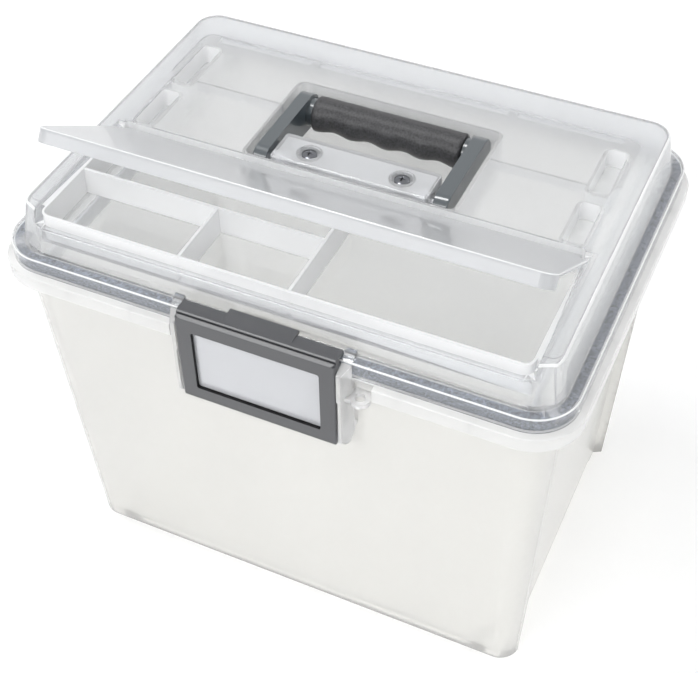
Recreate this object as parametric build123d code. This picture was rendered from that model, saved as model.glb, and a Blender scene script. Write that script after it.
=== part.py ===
from build123d import *
import os
from math import atan2, cos, hypot, radians, sin, tan

# Portable file box: a clear moulded tub with hanging-file rails, and a hinged clear lid
# with an organiser tray, a hinged tray flap, a fold-flat carrying handle, a seal and a
# front latch that holds a label card.
# Millimetres. +X is right along the long side, +Y is back, +Z is up. The origin is on
# the floor at the centre of the box.

os.makedirs("parts", exist_ok=True)

# ---------------------------------------------------------------- driving dimensions
# Clearances
GAP = 0.3                     # between separate pieces that only rest near each other
PIN_CLEARANCE = 0.06          # radial, pins in their bores
SCREW_CLEARANCE = 0.1         # radial, screw shank in its moulded hole

# Overall
RAIL_SPACING = 318.0          # centre to centre, for letter-size hanging files
FLANGE_WIDTH = 271.2          # front to back
FLANGE_TOP = 280.0            # height of the closed lid's flange above the floor
FLANGE_RADIUS = 28.5

# Tub
RAIL_TO_FACE = 19.8           # rail's centre to the tub's outside, at the rim
TUB_SETBACK_X = 7.2           # tub's outside at the rim, in from the flange's edge
TUB_SETBACK_Y = 4.0
TUB_TAPER_X = 10.4            # each side, from the rim down to the floor
TUB_TAPER_Y = 19.6
TUB_BOTTOM_RADIUS = 15.0
TUB_WALL = 2.4
TUB_FLOOR = 3.0
FOOT_HEIGHT = 6.0             # clear height under the floor, between the corner feet
FOOT_WIDTH = 26.0             # how far each foot reaches in from the tub's outside
FOOT_WALL = 3.0
FOOT_CORE_RADIUS = 4.0
APRON_THICKNESS = 5.4         # front and back walls below the floor
SIDE_PANEL_DEPTH = 6.2        # inset of the short sides between the corner columns
SIDE_PANEL_LENGTH = 192.0
SIDE_PANEL_SLOPE = 29.0       # degrees, of the inset's edges
SIDE_PANEL_CLEARANCE = 6.0    # between the inset's top edge and the rim's skirt
RIM_OVERHANG = 4.5            # rim beyond the lid's flange
RIM_LEDGE = 2.2               # thickness of the rim ledge
RIM_SKIRT_DEPTH = 10.0
RIM_SKIRT_WALL = 2.0
RIM_EDGE_RADIUS = 0.9
RIM_RIB_WALL = 1.6
RIM_RIB_PITCH = 44.0
SEAL_BEAD_HEIGHT = 1.2
SEAL_BEAD_WIDTH = 2.6
SEAL_BEAD_INSET = 3.1         # in from the inside of the lid's skirt

# File rails
RAIL_WEB = 1.6
RAIL_HEIGHT = 12.0
RAIL_BEAD_RADIUS = 1.6
RAIL_RISE = 3.0               # rail's top above the tub's rim
RAIL_SEAT_LENGTH = 8.0
RAIL_SEAT_WIDTH = 8.0
RAIL_SEAT_DEPTH = 15.0

# Lid shell
FLANGE_THICKNESS = 2.2
FLANGE_REACH = 8.0            # flange beyond the foot of the riser
SKIRT_DEPTH = 11.5
SKIRT_WALL = 2.0
SKIRT_LIFT = 0.5              # skirt edge above the tub's rim ledge
SKIRT_TOP_RADIUS = 1.2
SKIRT_FOOT_RADIUS = 0.6
RISER_HEIGHT = 26.0
RISER_DRAFT_X = 5.0           # each side, from the riser's foot to its top
RISER_DRAFT_Y = 6.6
RISER_EDGE_RADIUS = 2.0
FACET_TURN = 25.4             # degrees, slanted facets across the riser's front corners
FACET_LEAN = 12.0
FACET_REACH = 8.3             # facet's end behind the riser's front, at the top
LID_WALL = 2.2
INNER_LIP_DEPTH = 9.0

# Organiser tray moulded into the lid, and the flap over it
FLAP_MARGIN = 12.0            # flap in from the riser's top edge, each end
FLAP_NOSE = 1.0               # flap's front beyond the riser's top
FLAP_WALL = 2.0
FLAP_LIP = 9.0
FLAP_LIP_WALL = 1.8
FLAP_LIP_REACH = 11.0         # how far the deep lip turns back along each side
FLAP_CORNER_RADIUS = 9.0
FLAP_EDGE_RADIUS = 0.9
FLAP_CLEARANCE = 0.5
FLAP_SEAT_GAP = 0.2           # under the closed flap
FLAP_REAR_GAP = 3.5           # flap's rear edge to the tray's rear wall
FLAP_TAIL = 5.0               # full width ends this far in front of the hinge axis
FLAP_TAIL_GAP = 2.2           # between the narrower tail and the tray's sides
FLAP_AXIS_SETBACK = 9.8       # hinge axis in front of the tray's rear wall
FLAP_AXIS_DROP = 6.0          # hinge axis below the closed flap's top
FLAP_PIN_RADIUS = 2.0
FLAP_EAR_RADIUS = 4.0
FLAP_EAR_WALL = 3.4
FLAP_OPEN_ANGLE = 34.0        # how far the flap stands open
TRAY_REAR = -17.4
TRAY_SIDE_LEDGE = 3.7         # flap's end to the tray's end wall
TRAY_FRONT_LEDGE = 4.4        # flap's front to the tray's front wall
TRAY_DEPTH = 21.0
TRAY_FLOOR = 2.0
TRAY_CORNER_RADIUS = 5.0
TRAY_RIM_WALL = 1.5           # tray walls where the flap's lip hangs over them
TRAY_RIM_SETBACK = 0.2
DIVIDER_TOP_WALL = 2.0
DIVIDER_DRAFT = 0.5           # added to each face at the foot
DIVIDER_DROP = 2.5            # divider tops below the lid's top face
SHORT_DIVIDER_X = -61.4
LONG_DIVIDER_X = 11.6
TROUGH_DIVIDER_Y = -69.2

# Rear half of the lid
FIELD_MARGIN_X = 14.0         # slightly sunk field, in from the riser's top edge
FIELD_MARGIN_Y = 25.0
FIELD_SINK = 0.8
FIELD_RADIUS = 8.0
STRIP_OVERLAP = 5.0           # raised side strips reach this far in over the field
STRIP_HEIGHT = 0.5
STRIP_RADIUS = 6.0
STRIP_REAR_REACH = 2.4        # strip's rear end behind the panel crease
POCKET_MARGIN = 5.6           # pockets' outer side to the field's edge
POCKET_WIDTH = 13.1
POCKET_DEPTH = 14.0
POCKET_OFFSET = 2.9           # first pocket behind the tray's rear wall
POCKET_LENGTHS = (39.0, 45.5)
POCKET_SPACING = 11.5
POCKET_RADIUS = 3.0
GROOVE_WIDTH = 6.7
GROOVE_DEPTH = 0.7
GROOVE_LAND = 3.1             # half of the land between the side and middle grooves
PANEL_RIB_OFFSET = 6.0        # panel crease behind the front of the second pocket
PANEL_RIB_DEPTH = 9.0
PANEL_RIB_WALL = 1.4

# Handle, its bracket and the recess that they lie in
HANDLE_OUTER_LENGTH = 133.8
HANDLE_REACH = 59.2           # pivot to the grip's axis
HANDLE_SETBACK = 10.0         # pivot behind the recess's front wall
HANDLE_PROUD = 1.2            # handle and bracket tops above the lid's top face
ARM_WIDTH = 9.7
ARM_END_RADIUS = 9.7
ARM_BEVEL = 0.8
GRIP_RADIUS = 12.0
GRIP_SINK = 0.3               # grip's top below the bracket's
GRIP_END_RADIUS = 2.0
FINGER_GROOVES = 4
FINGER_PITCH = 25.0
FINGER_GROOVE_DEPTH = 2.0
FINGER_GROOVE_RADIUS = 22.0
COLLAR_RADIUS = 9.6
COLLAR_LENGTH = 4.2
CORE_RADIUS = 5.0
CORE_COVER = 3.9              # arm's wall over each end of the core bar
RECESS_SIDE_ROOM = 4.9        # beside each arm
RECESS_REAR_ROOM = 3.5        # behind the grip
RECESS_FLOOR_ROOM = 1.9       # under the grip
RECESS_RADIUS = 4.0
BRACKET_WIDTH = 26.3
BRACKET_SETBACK = 1.3         # bracket's front to the recess's front wall
BRACKET_ARM_GAP = 3.0
BRACKET_WALL = 2.4
BRACKET_RADIUS = 2.5
BRACKET_EDGE_RADIUS = 1.2
HANDLE_PIN_RADIUS = 3.0
HANDLE_PIN_HOLD = 10.2        # length of pin inside the bracket
HANDLE_PIN_COVER = 1.3        # arm's wall over the pin's outer end
PIN_BOSS_RADIUS = 6.5
SCREW_INSET = 22.2            # screw's axis in from the bracket's end
SCREW_SHANK_RADIUS = 1.8
SCREW_HEAD_RADIUS = 5.0
SCREW_HEAD_HEIGHT = 2.4
SCREW_SLOT_LENGTH = 5.0
SCREW_SLOT_WIDTH = 1.0
SCREW_TIP_GAP = 3.2           # screw's tip above the end of the lid's boss
SCREW_POST_WALL = 1.4
COUNTERBORE_RADIUS = 7.2
COUNTERBORE_DEPTH = 3.2
LID_BOSS_RADIUS = 4.2
LID_BOSS_LENGTH = 8.0

# Lid hinges
HINGE_X = 105.0
HINGE_SETBACK = 4.0           # axis behind the flange
HINGE_DROP = 6.4              # axis below the flange's top
HINGE_PIN_RADIUS = 1.5
LID_KNUCKLE_RADIUS = 4.6
LID_KNUCKLE_LENGTH = 24.0
TUB_EAR_RADIUS = 3.7
TUB_EAR_LENGTH = 8.0
HINGE_SIDE_GAP = 0.4

# Latch
CARD_LENGTH = 89.0            # a standard business card
CARD_HEIGHT = 51.0
CARD_THICKNESS = 0.4
CARD_POCKET_MARGIN = 0.6
WINDOW_LAP_X = 2.6            # card hidden behind the bezel, each end
WINDOW_LAP_Z = 2.0
WINDOW_THICKNESS = 1.0
WINDOW_CORNER_RADIUS = 1.5
BEZEL = 2.4
BEZEL_END = 10.1              # frame beyond the window, each end
BEZEL_TOP = 9.7
BEZEL_FOOT = 9.8
BACK_THICKNESS = 1.2
LAYER_GAP = 0.05
CLIP_X = 26.0                 # clips that hold the back plate in
CLIP_LENGTH = 8.0
CLIP_HEIGHT = 1.2
CLIP_THICKNESS = 0.9
LATCH_PROUD = 8.6             # latch's face in front of the flange
LATCH_DEPTH = 7.0
LATCH_SHOULDER_RISE = 0.7     # top of the flat front face above the flange
LATCH_RISE = 4.2              # latch's top above the flange
LATCH_BEVEL = 3.6
LATCH_CROWN_RADIUS = 4.0
LATCH_HOOK_REACH = 4.1        # hook's rear face behind the flange's edge
LATCH_HOOK_WALL = 1.5
LATCH_TOP_WALL = 2.2
LATCH_EDGE_RADIUS = 1.2
LATCH_TOP_RADIUS = 0.9
TAB_LENGTH = 45.0
TAB_REACH = 3.4
TAB_RISE = 0.8
LATCH_AXIS_SETBACK = 4.6      # pivot behind the latch's face
LATCH_BARREL_RADIUS = 3.2
LATCH_PIN_RADIUS = 1.5
SNAP_BEAD_HEIGHT = 1.1
SNAP_BEAD_WIDTH = 1.6

# Cheeks beside the latch, the lid's guides above them and the seal's eye
CHEEK_GAP = 0.7
CHEEK_FRONT_WALL = 2.8
CHEEK_REAR_WALL = 6.5         # at the flange
CHEEK_FRONT_DROP = 4.5        # cheek's top below the flange's, at its front
CHEEK_REAR_DROP = 1.0
CHEEK_RELIEF = 0.8            # inner face steps back lower down
CHEEK_RELIEF_DROP = 27.5      # top of that step below the flange's top
CHEEK_ROOT_DROP = 54.5        # where the lower edge meets the front wall
LATCH_PIN_HOLD = 3.6
GUIDE_RISE = 4.4              # guide's top above the flange
GUIDE_LENGTH = 7.0
EYE_OFFSET = 5.8              # from the right cheek's outer face
EYE_REACH = 6.7               # from the front wall
EYE_RADIUS = 6.4
EYE_HOLE_RADIUS = 3.3
EYE_THICKNESS = 3.0
EYE_DROP = 2.0                # below the rim's skirt
EYE_ROOM = 1.5

# ---------------------------------------------------------------- sizes worked out
TUB_TOP_LENGTH = RAIL_SPACING + 2 * RAIL_TO_FACE
TUB_BOTTOM_LENGTH = TUB_TOP_LENGTH - 2 * TUB_TAPER_X
TUB_TOP_WIDTH = FLANGE_WIDTH - 2 * TUB_SETBACK_Y
TUB_BOTTOM_WIDTH = TUB_TOP_WIDTH - 2 * TUB_TAPER_Y
TUB_TOP_RADIUS = FLANGE_RADIUS - TUB_SETBACK_Y + 0.5
FLANGE_LENGTH = TUB_TOP_LENGTH + 2 * TUB_SETBACK_X
RIM_TOP = FLANGE_TOP - SKIRT_DEPTH - SKIRT_LIFT
RIM_LENGTH = FLANGE_LENGTH + 2 * RIM_OVERHANG
RIM_WIDTH = FLANGE_WIDTH + 2 * RIM_OVERHANG
RIM_RADIUS = FLANGE_RADIUS + RIM_OVERHANG
RAIL_TOP = RIM_TOP + RAIL_RISE
FLOOR_TOP = FOOT_HEIGHT + TUB_FLOOR

RISER_BASE_LENGTH = FLANGE_LENGTH - 2 * FLANGE_REACH
RISER_BASE_WIDTH = FLANGE_WIDTH - 2 * FLANGE_REACH
RISER_BASE_RADIUS = FLANGE_RADIUS - FLANGE_REACH
RISER_TOP_LENGTH = RISER_BASE_LENGTH - 2 * RISER_DRAFT_X
RISER_TOP_WIDTH = RISER_BASE_WIDTH - 2 * RISER_DRAFT_Y
RISER_TOP_RADIUS = RISER_BASE_RADIUS - RISER_DRAFT_X
LID_TOP = FLANGE_TOP + RISER_HEIGHT
HANDLE_TOP = LID_TOP + HANDLE_PROUD

FLAP_LENGTH = RISER_TOP_LENGTH - 2 * FLAP_MARGIN
FLAP_FRONT = -RISER_TOP_WIDTH / 2 - FLAP_NOSE
FLAP_REAR = TRAY_REAR - FLAP_REAR_GAP
FLAP_AXIS_Y = TRAY_REAR - FLAP_AXIS_SETBACK
FLAP_AXIS_Z = LID_TOP - FLAP_AXIS_DROP
FLAP_SWEEP = hypot(FLAP_REAR - FLAP_AXIS_Y, FLAP_AXIS_DROP) + 2 * GAP
LIP_LEDGE = LID_TOP - FLAP_LIP - 2 * FLAP_CLEARANCE
TRAY_LENGTH = FLAP_LENGTH - 2 * TRAY_SIDE_LEDGE
TRAY_FRONT = FLAP_FRONT + TRAY_FRONT_LEDGE
TRAY_FLOOR_TOP = LID_TOP - TRAY_DEPTH

RECESS_FRONT = TRAY_REAR + LID_WALL
HANDLE_AXIS_Y = RECESS_FRONT + HANDLE_SETBACK
HANDLE_AXIS_Z = HANDLE_TOP - ARM_END_RADIUS
GRIP_AXIS_Y = HANDLE_AXIS_Y + HANDLE_REACH
GRIP_AXIS_Z = HANDLE_TOP - GRIP_SINK - GRIP_RADIUS
RECESS_REAR = GRIP_AXIS_Y + GRIP_RADIUS + RECESS_REAR_ROOM
RECESS_LENGTH = HANDLE_OUTER_LENGTH + 2 * RECESS_SIDE_ROOM
RECESS_FLOOR_TOP = GRIP_AXIS_Z - GRIP_RADIUS - RECESS_FLOOR_ROOM
LID_BOSS_LOW = RECESS_FLOOR_TOP - TRAY_FLOOR - LID_BOSS_LENGTH
ARM_INNER_X = HANDLE_OUTER_LENGTH / 2 - ARM_WIDTH
GRIP_LENGTH = 2 * (ARM_INNER_X - COLLAR_LENGTH)
CORE_LENGTH = HANDLE_OUTER_LENGTH - 2 * CORE_COVER
BRACKET_LENGTH = 2 * (ARM_INNER_X - BRACKET_ARM_GAP)
BRACKET_Y = RECESS_FRONT + BRACKET_SETBACK + BRACKET_WIDTH / 2
HANDLE_PIN_INNER_X = BRACKET_LENGTH / 2 - HANDLE_PIN_HOLD
HANDLE_PIN_OUTER_X = HANDLE_OUTER_LENGTH / 2 - HANDLE_PIN_COVER
SCREW_X = BRACKET_LENGTH / 2 - SCREW_INSET

FIELD_LENGTH = RISER_TOP_LENGTH - 2 * FIELD_MARGIN_X
FIELD_REAR = RISER_TOP_WIDTH / 2 - FIELD_MARGIN_Y
POCKET_X = FIELD_LENGTH / 2 - POCKET_MARGIN - POCKET_WIDTH / 2
POCKET_1_FRONT = TRAY_REAR + POCKET_OFFSET
POCKET_1_REAR = POCKET_1_FRONT + POCKET_LENGTHS[0]
POCKET_2_FRONT = POCKET_1_REAR + POCKET_SPACING
POCKET_2_REAR = POCKET_2_FRONT + POCKET_LENGTHS[1]
POCKET_SPANS = ((POCKET_1_FRONT, POCKET_1_REAR), (POCKET_2_FRONT, POCKET_2_REAR))
PANEL_RIB_Y = POCKET_2_FRONT + PANEL_RIB_OFFSET
GROOVE_FRONT = FIELD_REAR - GROOVE_WIDTH

HINGE_AXIS_Y = FLANGE_WIDTH / 2 + HINGE_SETBACK
HINGE_AXIS_Z = FLANGE_TOP - HINGE_DROP

WINDOW_LENGTH = CARD_LENGTH - 2 * WINDOW_LAP_X
WINDOW_HEIGHT = CARD_HEIGHT - 2 * WINDOW_LAP_Z
LATCH_LENGTH = WINDOW_LENGTH + 2 * BEZEL_END
LATCH_FRONT = -FLANGE_WIDTH / 2 - LATCH_PROUD
LATCH_REAR = LATCH_FRONT + LATCH_DEPTH
LATCH_SHOULDER = FLANGE_TOP + LATCH_SHOULDER_RISE
LATCH_TOP = FLANGE_TOP + LATCH_RISE
WINDOW_BOTTOM = LATCH_SHOULDER - BEZEL_TOP - WINDOW_HEIGHT
WINDOW_Z = WINDOW_BOTTOM + WINDOW_HEIGHT / 2
LATCH_BOTTOM = WINDOW_BOTTOM - BEZEL_FOOT
LATCH_HOOK_REAR = -FLANGE_WIDTH / 2 + LATCH_HOOK_REACH
LATCH_AXIS_Y = LATCH_FRONT + LATCH_AXIS_SETBACK
LATCH_AXIS_Z = LATCH_BOTTOM + LATCH_BARREL_RADIUS
WINDOW_FRONT = LATCH_FRONT + BEZEL + LAYER_GAP
CARD_FRONT = WINDOW_FRONT + WINDOW_THICKNESS + LAYER_GAP
BACK_FRONT = CARD_FRONT + CARD_THICKNESS + LAYER_GAP
LAYER_LENGTH = CARD_LENGTH + CARD_POCKET_MARGIN
LAYER_HEIGHT = CARD_HEIGHT + CARD_POCKET_MARGIN
CHEEK_INNER_X = LATCH_LENGTH / 2 + CHEEK_GAP
CHEEK_OUTER_X = CHEEK_INNER_X + CHEEK_REAR_WALL
LATCH_PIN_REACH = CHEEK_INNER_X + LATCH_PIN_HOLD
EYE_X = CHEEK_OUTER_X + EYE_OFFSET
EYE_TOP = RIM_TOP - RIM_SKIRT_DEPTH - EYE_DROP


# ---------------------------------------------------------------- shared forms
def block(x0, x1, y0, y1, z0, z1):
    """A plain block between two corners."""
    centre = ((x0 + x1) / 2, (y0 + y1) / 2, (z0 + z1) / 2)
    return Pos(*centre) * Box(x1 - x0, y1 - y0, z1 - z0)


def slab(length, width, radius, z0, z1, x=0.0, y=0.0):
    """An upright slab with a rounded-rectangle plan."""
    plan = Pos(x, y, z0) * RectangleRounded(length, width, radius)
    return extrude(plan, amount=z1 - z0)


def ring(length, width, radius, wall, z0, z1):
    """An upright wall that follows a rounded rectangle, inside its outline."""
    inner = slab(length - 2 * wall, width - 2 * wall, radius - wall, z0, z1)
    return slab(length, width, radius, z0, z1) - inner


def tapered(length0, width0, radius0, z0, length1, width1, radius1, z1):
    """A rounded-rectangle block whose plan changes from z0 to z1."""
    low = Pos(0, 0, z0) * RectangleRounded(length0, width0, radius0)
    high = Pos(0, 0, z1) * RectangleRounded(length1, width1, radius1)
    return loft([low, high])


def rod(x0, x1, y, z, radius):
    """A round bar along X."""
    return Pos((x0 + x1) / 2, y, z) * Rot(0, 90, 0) * Cylinder(radius, x1 - x0)


def post(x, y, z0, z1, radius):
    """A round bar along Z."""
    return Pos(x, y, (z0 + z1) / 2) * Cylinder(radius, z1 - z0)


def section(points, x0, x1):
    """A (y, z) outline stretched along X."""
    outline = Plane(origin=(x0, 0, 0), x_dir=(0, 1, 0), z_dir=(1, 0, 0))
    face = outline * make_face(Polyline(*points, close=True))
    return extrude(face, amount=x1 - x0)


def both_sides(shape):
    """A shape and its mirror image in the YZ plane."""
    return shape + mirror(shape, about=Plane.YZ)


def tub_half(height, bottom, top):
    """Half size of the tub's outer wall at a height."""
    return (bottom + (top - bottom) * height / RIM_TOP) / 2


# ---------------------------------------------------------------- tub
def make_tub():
    outer = tapered(TUB_BOTTOM_LENGTH, TUB_BOTTOM_WIDTH, TUB_BOTTOM_RADIUS, 0,
                    TUB_TOP_LENGTH, TUB_TOP_WIDTH, TUB_TOP_RADIUS, RIM_TOP)
    mouth = tapered(TUB_BOTTOM_LENGTH - 2 * TUB_WALL, TUB_BOTTOM_WIDTH - 2 * TUB_WALL,
                    TUB_BOTTOM_RADIUS - TUB_WALL, 0,
                    TUB_TOP_LENGTH - 2 * TUB_WALL, TUB_TOP_WIDTH - 2 * TUB_WALL,
                    TUB_TOP_RADIUS - TUB_WALL, RIM_TOP)
    cavity = mouth - slab(RIM_LENGTH, RIM_WIDTH, RIM_RADIUS, 0, FLOOR_TOP)
    cavity -= both_sides(side_panel(TUB_WALL))
    body = outer - both_sides(side_panel(0)) - underside() - foot_cores() - cavity

    # Rim: a ledge round the mouth, its turned-down skirt, and the bead under the seal.
    skirt_low = RIM_TOP - RIM_SKIRT_DEPTH
    rim = slab(RIM_LENGTH, RIM_WIDTH, RIM_RADIUS, skirt_low, RIM_TOP)
    edges = rim.edges().group_by(Axis.Z)
    rim = fillet(edges[-1] + edges[0], RIM_EDGE_RADIUS)
    rim -= slab(RIM_LENGTH - 2 * RIM_SKIRT_WALL, RIM_WIDTH - 2 * RIM_SKIRT_WALL,
                RIM_RADIUS - RIM_SKIRT_WALL, skirt_low - 1, RIM_TOP - RIM_LEDGE)
    bead_inset = SKIRT_WALL + SEAL_BEAD_INSET
    bead = ring(FLANGE_LENGTH - 2 * bead_inset, FLANGE_WIDTH - 2 * bead_inset,
                FLANGE_RADIUS - bead_inset, SEAL_BEAD_WIDTH, RIM_TOP,
                RIM_TOP + SEAL_BEAD_HEIGHT)
    rim = rim + rim_ribs() - mouth - latch_notch()
    tub = body + rim + bead
    tub += both_sides(latch_cheek())
    tub += seal_eye()
    tub += both_sides(hinge_ears())
    tub += rail_seats()
    pin_bore = LATCH_PIN_RADIUS + PIN_CLEARANCE
    reach = LATCH_PIN_REACH + GAP
    return tub - rod(-reach, reach, LATCH_AXIS_Y, LATCH_AXIS_Z, pin_bore)


def side_panel(inset):
    """The recess between the corner columns of the right-hand side, its face and its
    sloping edges moved inwards by inset."""
    top = RIM_TOP - RIM_SKIRT_DEPTH - SIDE_PANEL_CLEARANCE
    lean = atan2(TUB_TAPER_X, RIM_TOP)
    slope = radians(SIDE_PANEL_SLOPE)
    grow = inset * (1 / cos(slope) - tan(slope))
    face_x = tub_half(top / 2, TUB_BOTTOM_LENGTH, TUB_TOP_LENGTH) - SIDE_PANEL_DEPTH - inset
    face = Plane(origin=(face_x, 0, top / 2), x_dir=(0, 1, 0),
                 z_dir=(cos(lean), 0, -sin(lean)))
    plan = face * Pos(0, grow - top / 2) * Rectangle(SIDE_PANEL_LENGTH + 2 * grow, 2 * top)
    return extrude(plan, amount=2 * SIDE_PANEL_DEPTH + inset, taper=-SIDE_PANEL_SLOPE)


def underside():
    """Clear room under the floor, open at the sides between the feet."""
    foot_inner_y = TUB_BOTTOM_WIDTH / 2 - FOOT_WIDTH
    room = slab(TUB_BOTTOM_LENGTH - 2 * FOOT_WIDTH, TUB_BOTTOM_WIDTH - 2 * APRON_THICKNESS,
                TUB_BOTTOM_RADIUS, 0, FOOT_HEIGHT)
    return room + block(-RIM_LENGTH / 2, RIM_LENGTH / 2, -foot_inner_y, foot_inner_y,
                        0, FOOT_HEIGHT)


def foot_cores():
    """Hollows that core the corner feet out from below."""
    x0 = TUB_BOTTOM_LENGTH / 2 - FOOT_WIDTH + FOOT_WALL
    x1 = TUB_BOTTOM_LENGTH / 2 - SIDE_PANEL_DEPTH - FOOT_WALL
    y0 = TUB_BOTTOM_WIDTH / 2 - FOOT_WIDTH + FOOT_WALL
    y1 = TUB_BOTTOM_WIDTH / 2 - FOOT_WALL
    core = slab(x1 - x0, y1 - y0, FOOT_CORE_RADIUS, 0, FOOT_HEIGHT,
                x=(x0 + x1) / 2, y=(y0 + y1) / 2)
    core += mirror(core, about=Plane.XZ)
    return both_sides(core)


def rim_ribs():
    """Small upright ribs that stiffen the rim skirt, on the long sides and the short."""
    ribs = Part()
    low = RIM_TOP - RIM_SKIRT_DEPTH + 1
    for step in range(-3, 4):
        x = step * RIM_RIB_PITCH
        for side in (-1, 1):
            wall_y = side * (tub_half(low, TUB_BOTTOM_WIDTH, TUB_TOP_WIDTH) - 1)
            rim_y = side * (RIM_WIDTH / 2 - 1)
            ribs += block(x - RIM_RIB_WALL / 2, x + RIM_RIB_WALL / 2,
                          min(wall_y, rim_y), max(wall_y, rim_y), low, RIM_TOP - 1)
    for step in range(-2, 3):
        y = step * RIM_RIB_PITCH
        for side in (-1, 1):
            wall_x = side * (tub_half(low, TUB_BOTTOM_LENGTH, TUB_TOP_LENGTH) - 1)
            rim_x = side * (RIM_LENGTH / 2 - 1)
            ribs += block(min(wall_x, rim_x), max(wall_x, rim_x),
                          y - RIM_RIB_WALL / 2, y + RIM_RIB_WALL / 2, low, RIM_TOP - 1)
    return ribs


def latch_notch():
    """Gap in the front of the rim where the latch lies, wider on the eye's side."""
    face = -FLANGE_WIDTH / 2 - GAP
    return block(-CHEEK_OUTER_X, EYE_X + EYE_RADIUS + EYE_ROOM, -RIM_WIDTH / 2 - 1, face,
                 RIM_TOP - RIM_SKIRT_DEPTH - 1, RIM_TOP + 1)


def latch_cheek():
    """Upright cheek beside the latch, thicker at the back, that holds the pivot pin."""
    flange_face = -FLANGE_WIDTH / 2 - GAP
    root = FLANGE_TOP - CHEEK_ROOT_DROP
    wall_low = -tub_half(root, TUB_BOTTOM_WIDTH, TUB_TOP_WIDTH) + 1
    wall_high = -tub_half(RIM_TOP, TUB_BOTTOM_WIDTH, TUB_TOP_WIDTH) + 1
    outline = [(flange_face, FLANGE_TOP - CHEEK_REAR_DROP),
               (LATCH_FRONT, FLANGE_TOP - CHEEK_FRONT_DROP), (LATCH_FRONT, LATCH_AXIS_Z),
               (LATCH_AXIS_Y - LATCH_BARREL_RADIUS, LATCH_AXIS_Z), (LATCH_AXIS_Y, LATCH_BOTTOM),
               (LATCH_AXIS_Y + LATCH_BARREL_RADIUS, LATCH_AXIS_Z), (wall_low, root),
               (wall_high, RIM_TOP - 1), (flange_face, RIM_TOP - 1)]
    cheek = section(outline, CHEEK_INNER_X, CHEEK_OUTER_X)
    cheek += rod(CHEEK_INNER_X, CHEEK_OUTER_X, LATCH_AXIS_Y, LATCH_AXIS_Z, LATCH_BARREL_RADIUS)
    plan = [(CHEEK_INNER_X, LATCH_FRONT - 1), (CHEEK_INNER_X, wall_low),
            (CHEEK_OUTER_X, wall_low), (CHEEK_OUTER_X, flange_face),
            (CHEEK_INNER_X + CHEEK_FRONT_WALL, LATCH_FRONT),
            (CHEEK_INNER_X + CHEEK_FRONT_WALL, LATCH_FRONT - 1)]
    wedge = extrude(make_face(Polyline(*plan, close=True)), amount=FLANGE_TOP)
    step = block(CHEEK_INNER_X, CHEEK_INNER_X + CHEEK_RELIEF, LATCH_FRONT - 1, LATCH_REAR,
                 0, FLANGE_TOP - CHEEK_RELIEF_DROP)
    return (cheek & wedge) - step


def seal_eye():
    """Flat eye beside the right cheek, for a seal or a small lock."""
    low = EYE_TOP - EYE_THICKNESS
    wall = tub_half(EYE_TOP, TUB_BOTTOM_WIDTH, TUB_TOP_WIDTH)
    y = -wall - EYE_REACH
    root_x = CHEEK_INNER_X + CHEEK_RELIEF
    tab = post(EYE_X, y, low, EYE_TOP, EYE_RADIUS)
    tab += block(root_x, EYE_X + EYE_RADIUS, y, 1 - wall, low, EYE_TOP)
    tab += block(root_x, EYE_X, y - EYE_RADIUS + 2, y, low, EYE_TOP)
    return tab - post(EYE_X, y, low - 1, EYE_TOP + 1, EYE_HOLE_RADIUS)


def hinge_ears():
    """The tub's two ears of the right-hand hinge, standing on the back of the rim."""
    ears = Part()
    first = LID_KNUCKLE_LENGTH / 2 + HINGE_SIDE_GAP
    rim_face = RIM_WIDTH / 2
    ear_front = HINGE_AXIS_Y - TUB_EAR_RADIUS
    ear_back = HINGE_AXIS_Y + TUB_EAR_RADIUS
    outline = [(ear_front, HINGE_AXIS_Z), (ear_back, HINGE_AXIS_Z),
               (rim_face, RIM_TOP - RIM_SKIRT_DEPTH + 2), (rim_face - 1, RIM_TOP - RIM_LEDGE),
               (ear_front, RIM_TOP - RIM_LEDGE)]
    for start in (HINGE_X - first - TUB_EAR_LENGTH, HINGE_X + first):
        ear = section(outline, start, start + TUB_EAR_LENGTH)
        ear += rod(start, start + TUB_EAR_LENGTH, HINGE_AXIS_Y, HINGE_AXIS_Z, TUB_EAR_RADIUS)
        ears += ear
    bore = HINGE_PIN_RADIUS + PIN_CLEARANCE
    reach = first + TUB_EAR_LENGTH + 1
    return ears - rod(HINGE_X - reach, HINGE_X + reach, HINGE_AXIS_Y, HINGE_AXIS_Z, bore)


def rail_seats():
    """Slotted seats inside the front and back walls that carry the file rails' ends."""
    seats = Part()
    rail_low = RAIL_TOP - RAIL_HEIGHT
    seat_top = rail_low + RAIL_HEIGHT / 2
    seat_low = seat_top - RAIL_SEAT_DEPTH
    wall_top = tub_half(seat_top, TUB_BOTTOM_WIDTH, TUB_TOP_WIDTH) - 1
    wall_low = tub_half(seat_low, TUB_BOTTOM_WIDTH, TUB_TOP_WIDTH) - 1
    inner = wall_low - TUB_WALL - RAIL_SEAT_LENGTH
    half = RAIL_SEAT_WIDTH / 2
    outline = [(inner, seat_top), (wall_top, seat_top), (wall_low, seat_low),
               (wall_low - TUB_WALL, seat_low)]
    slot_half = RAIL_WEB / 2 + GAP
    for x in (-RAIL_SPACING / 2, RAIL_SPACING / 2):
        seat = section(outline, x - half, x + half)
        seat -= block(x - slot_half, x + slot_half, 0, wall_top - TUB_WALL,
                      rail_low - GAP, seat_top + 1)
        seats += seat
    return seats + mirror(seats, about=Plane.XZ)


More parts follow.
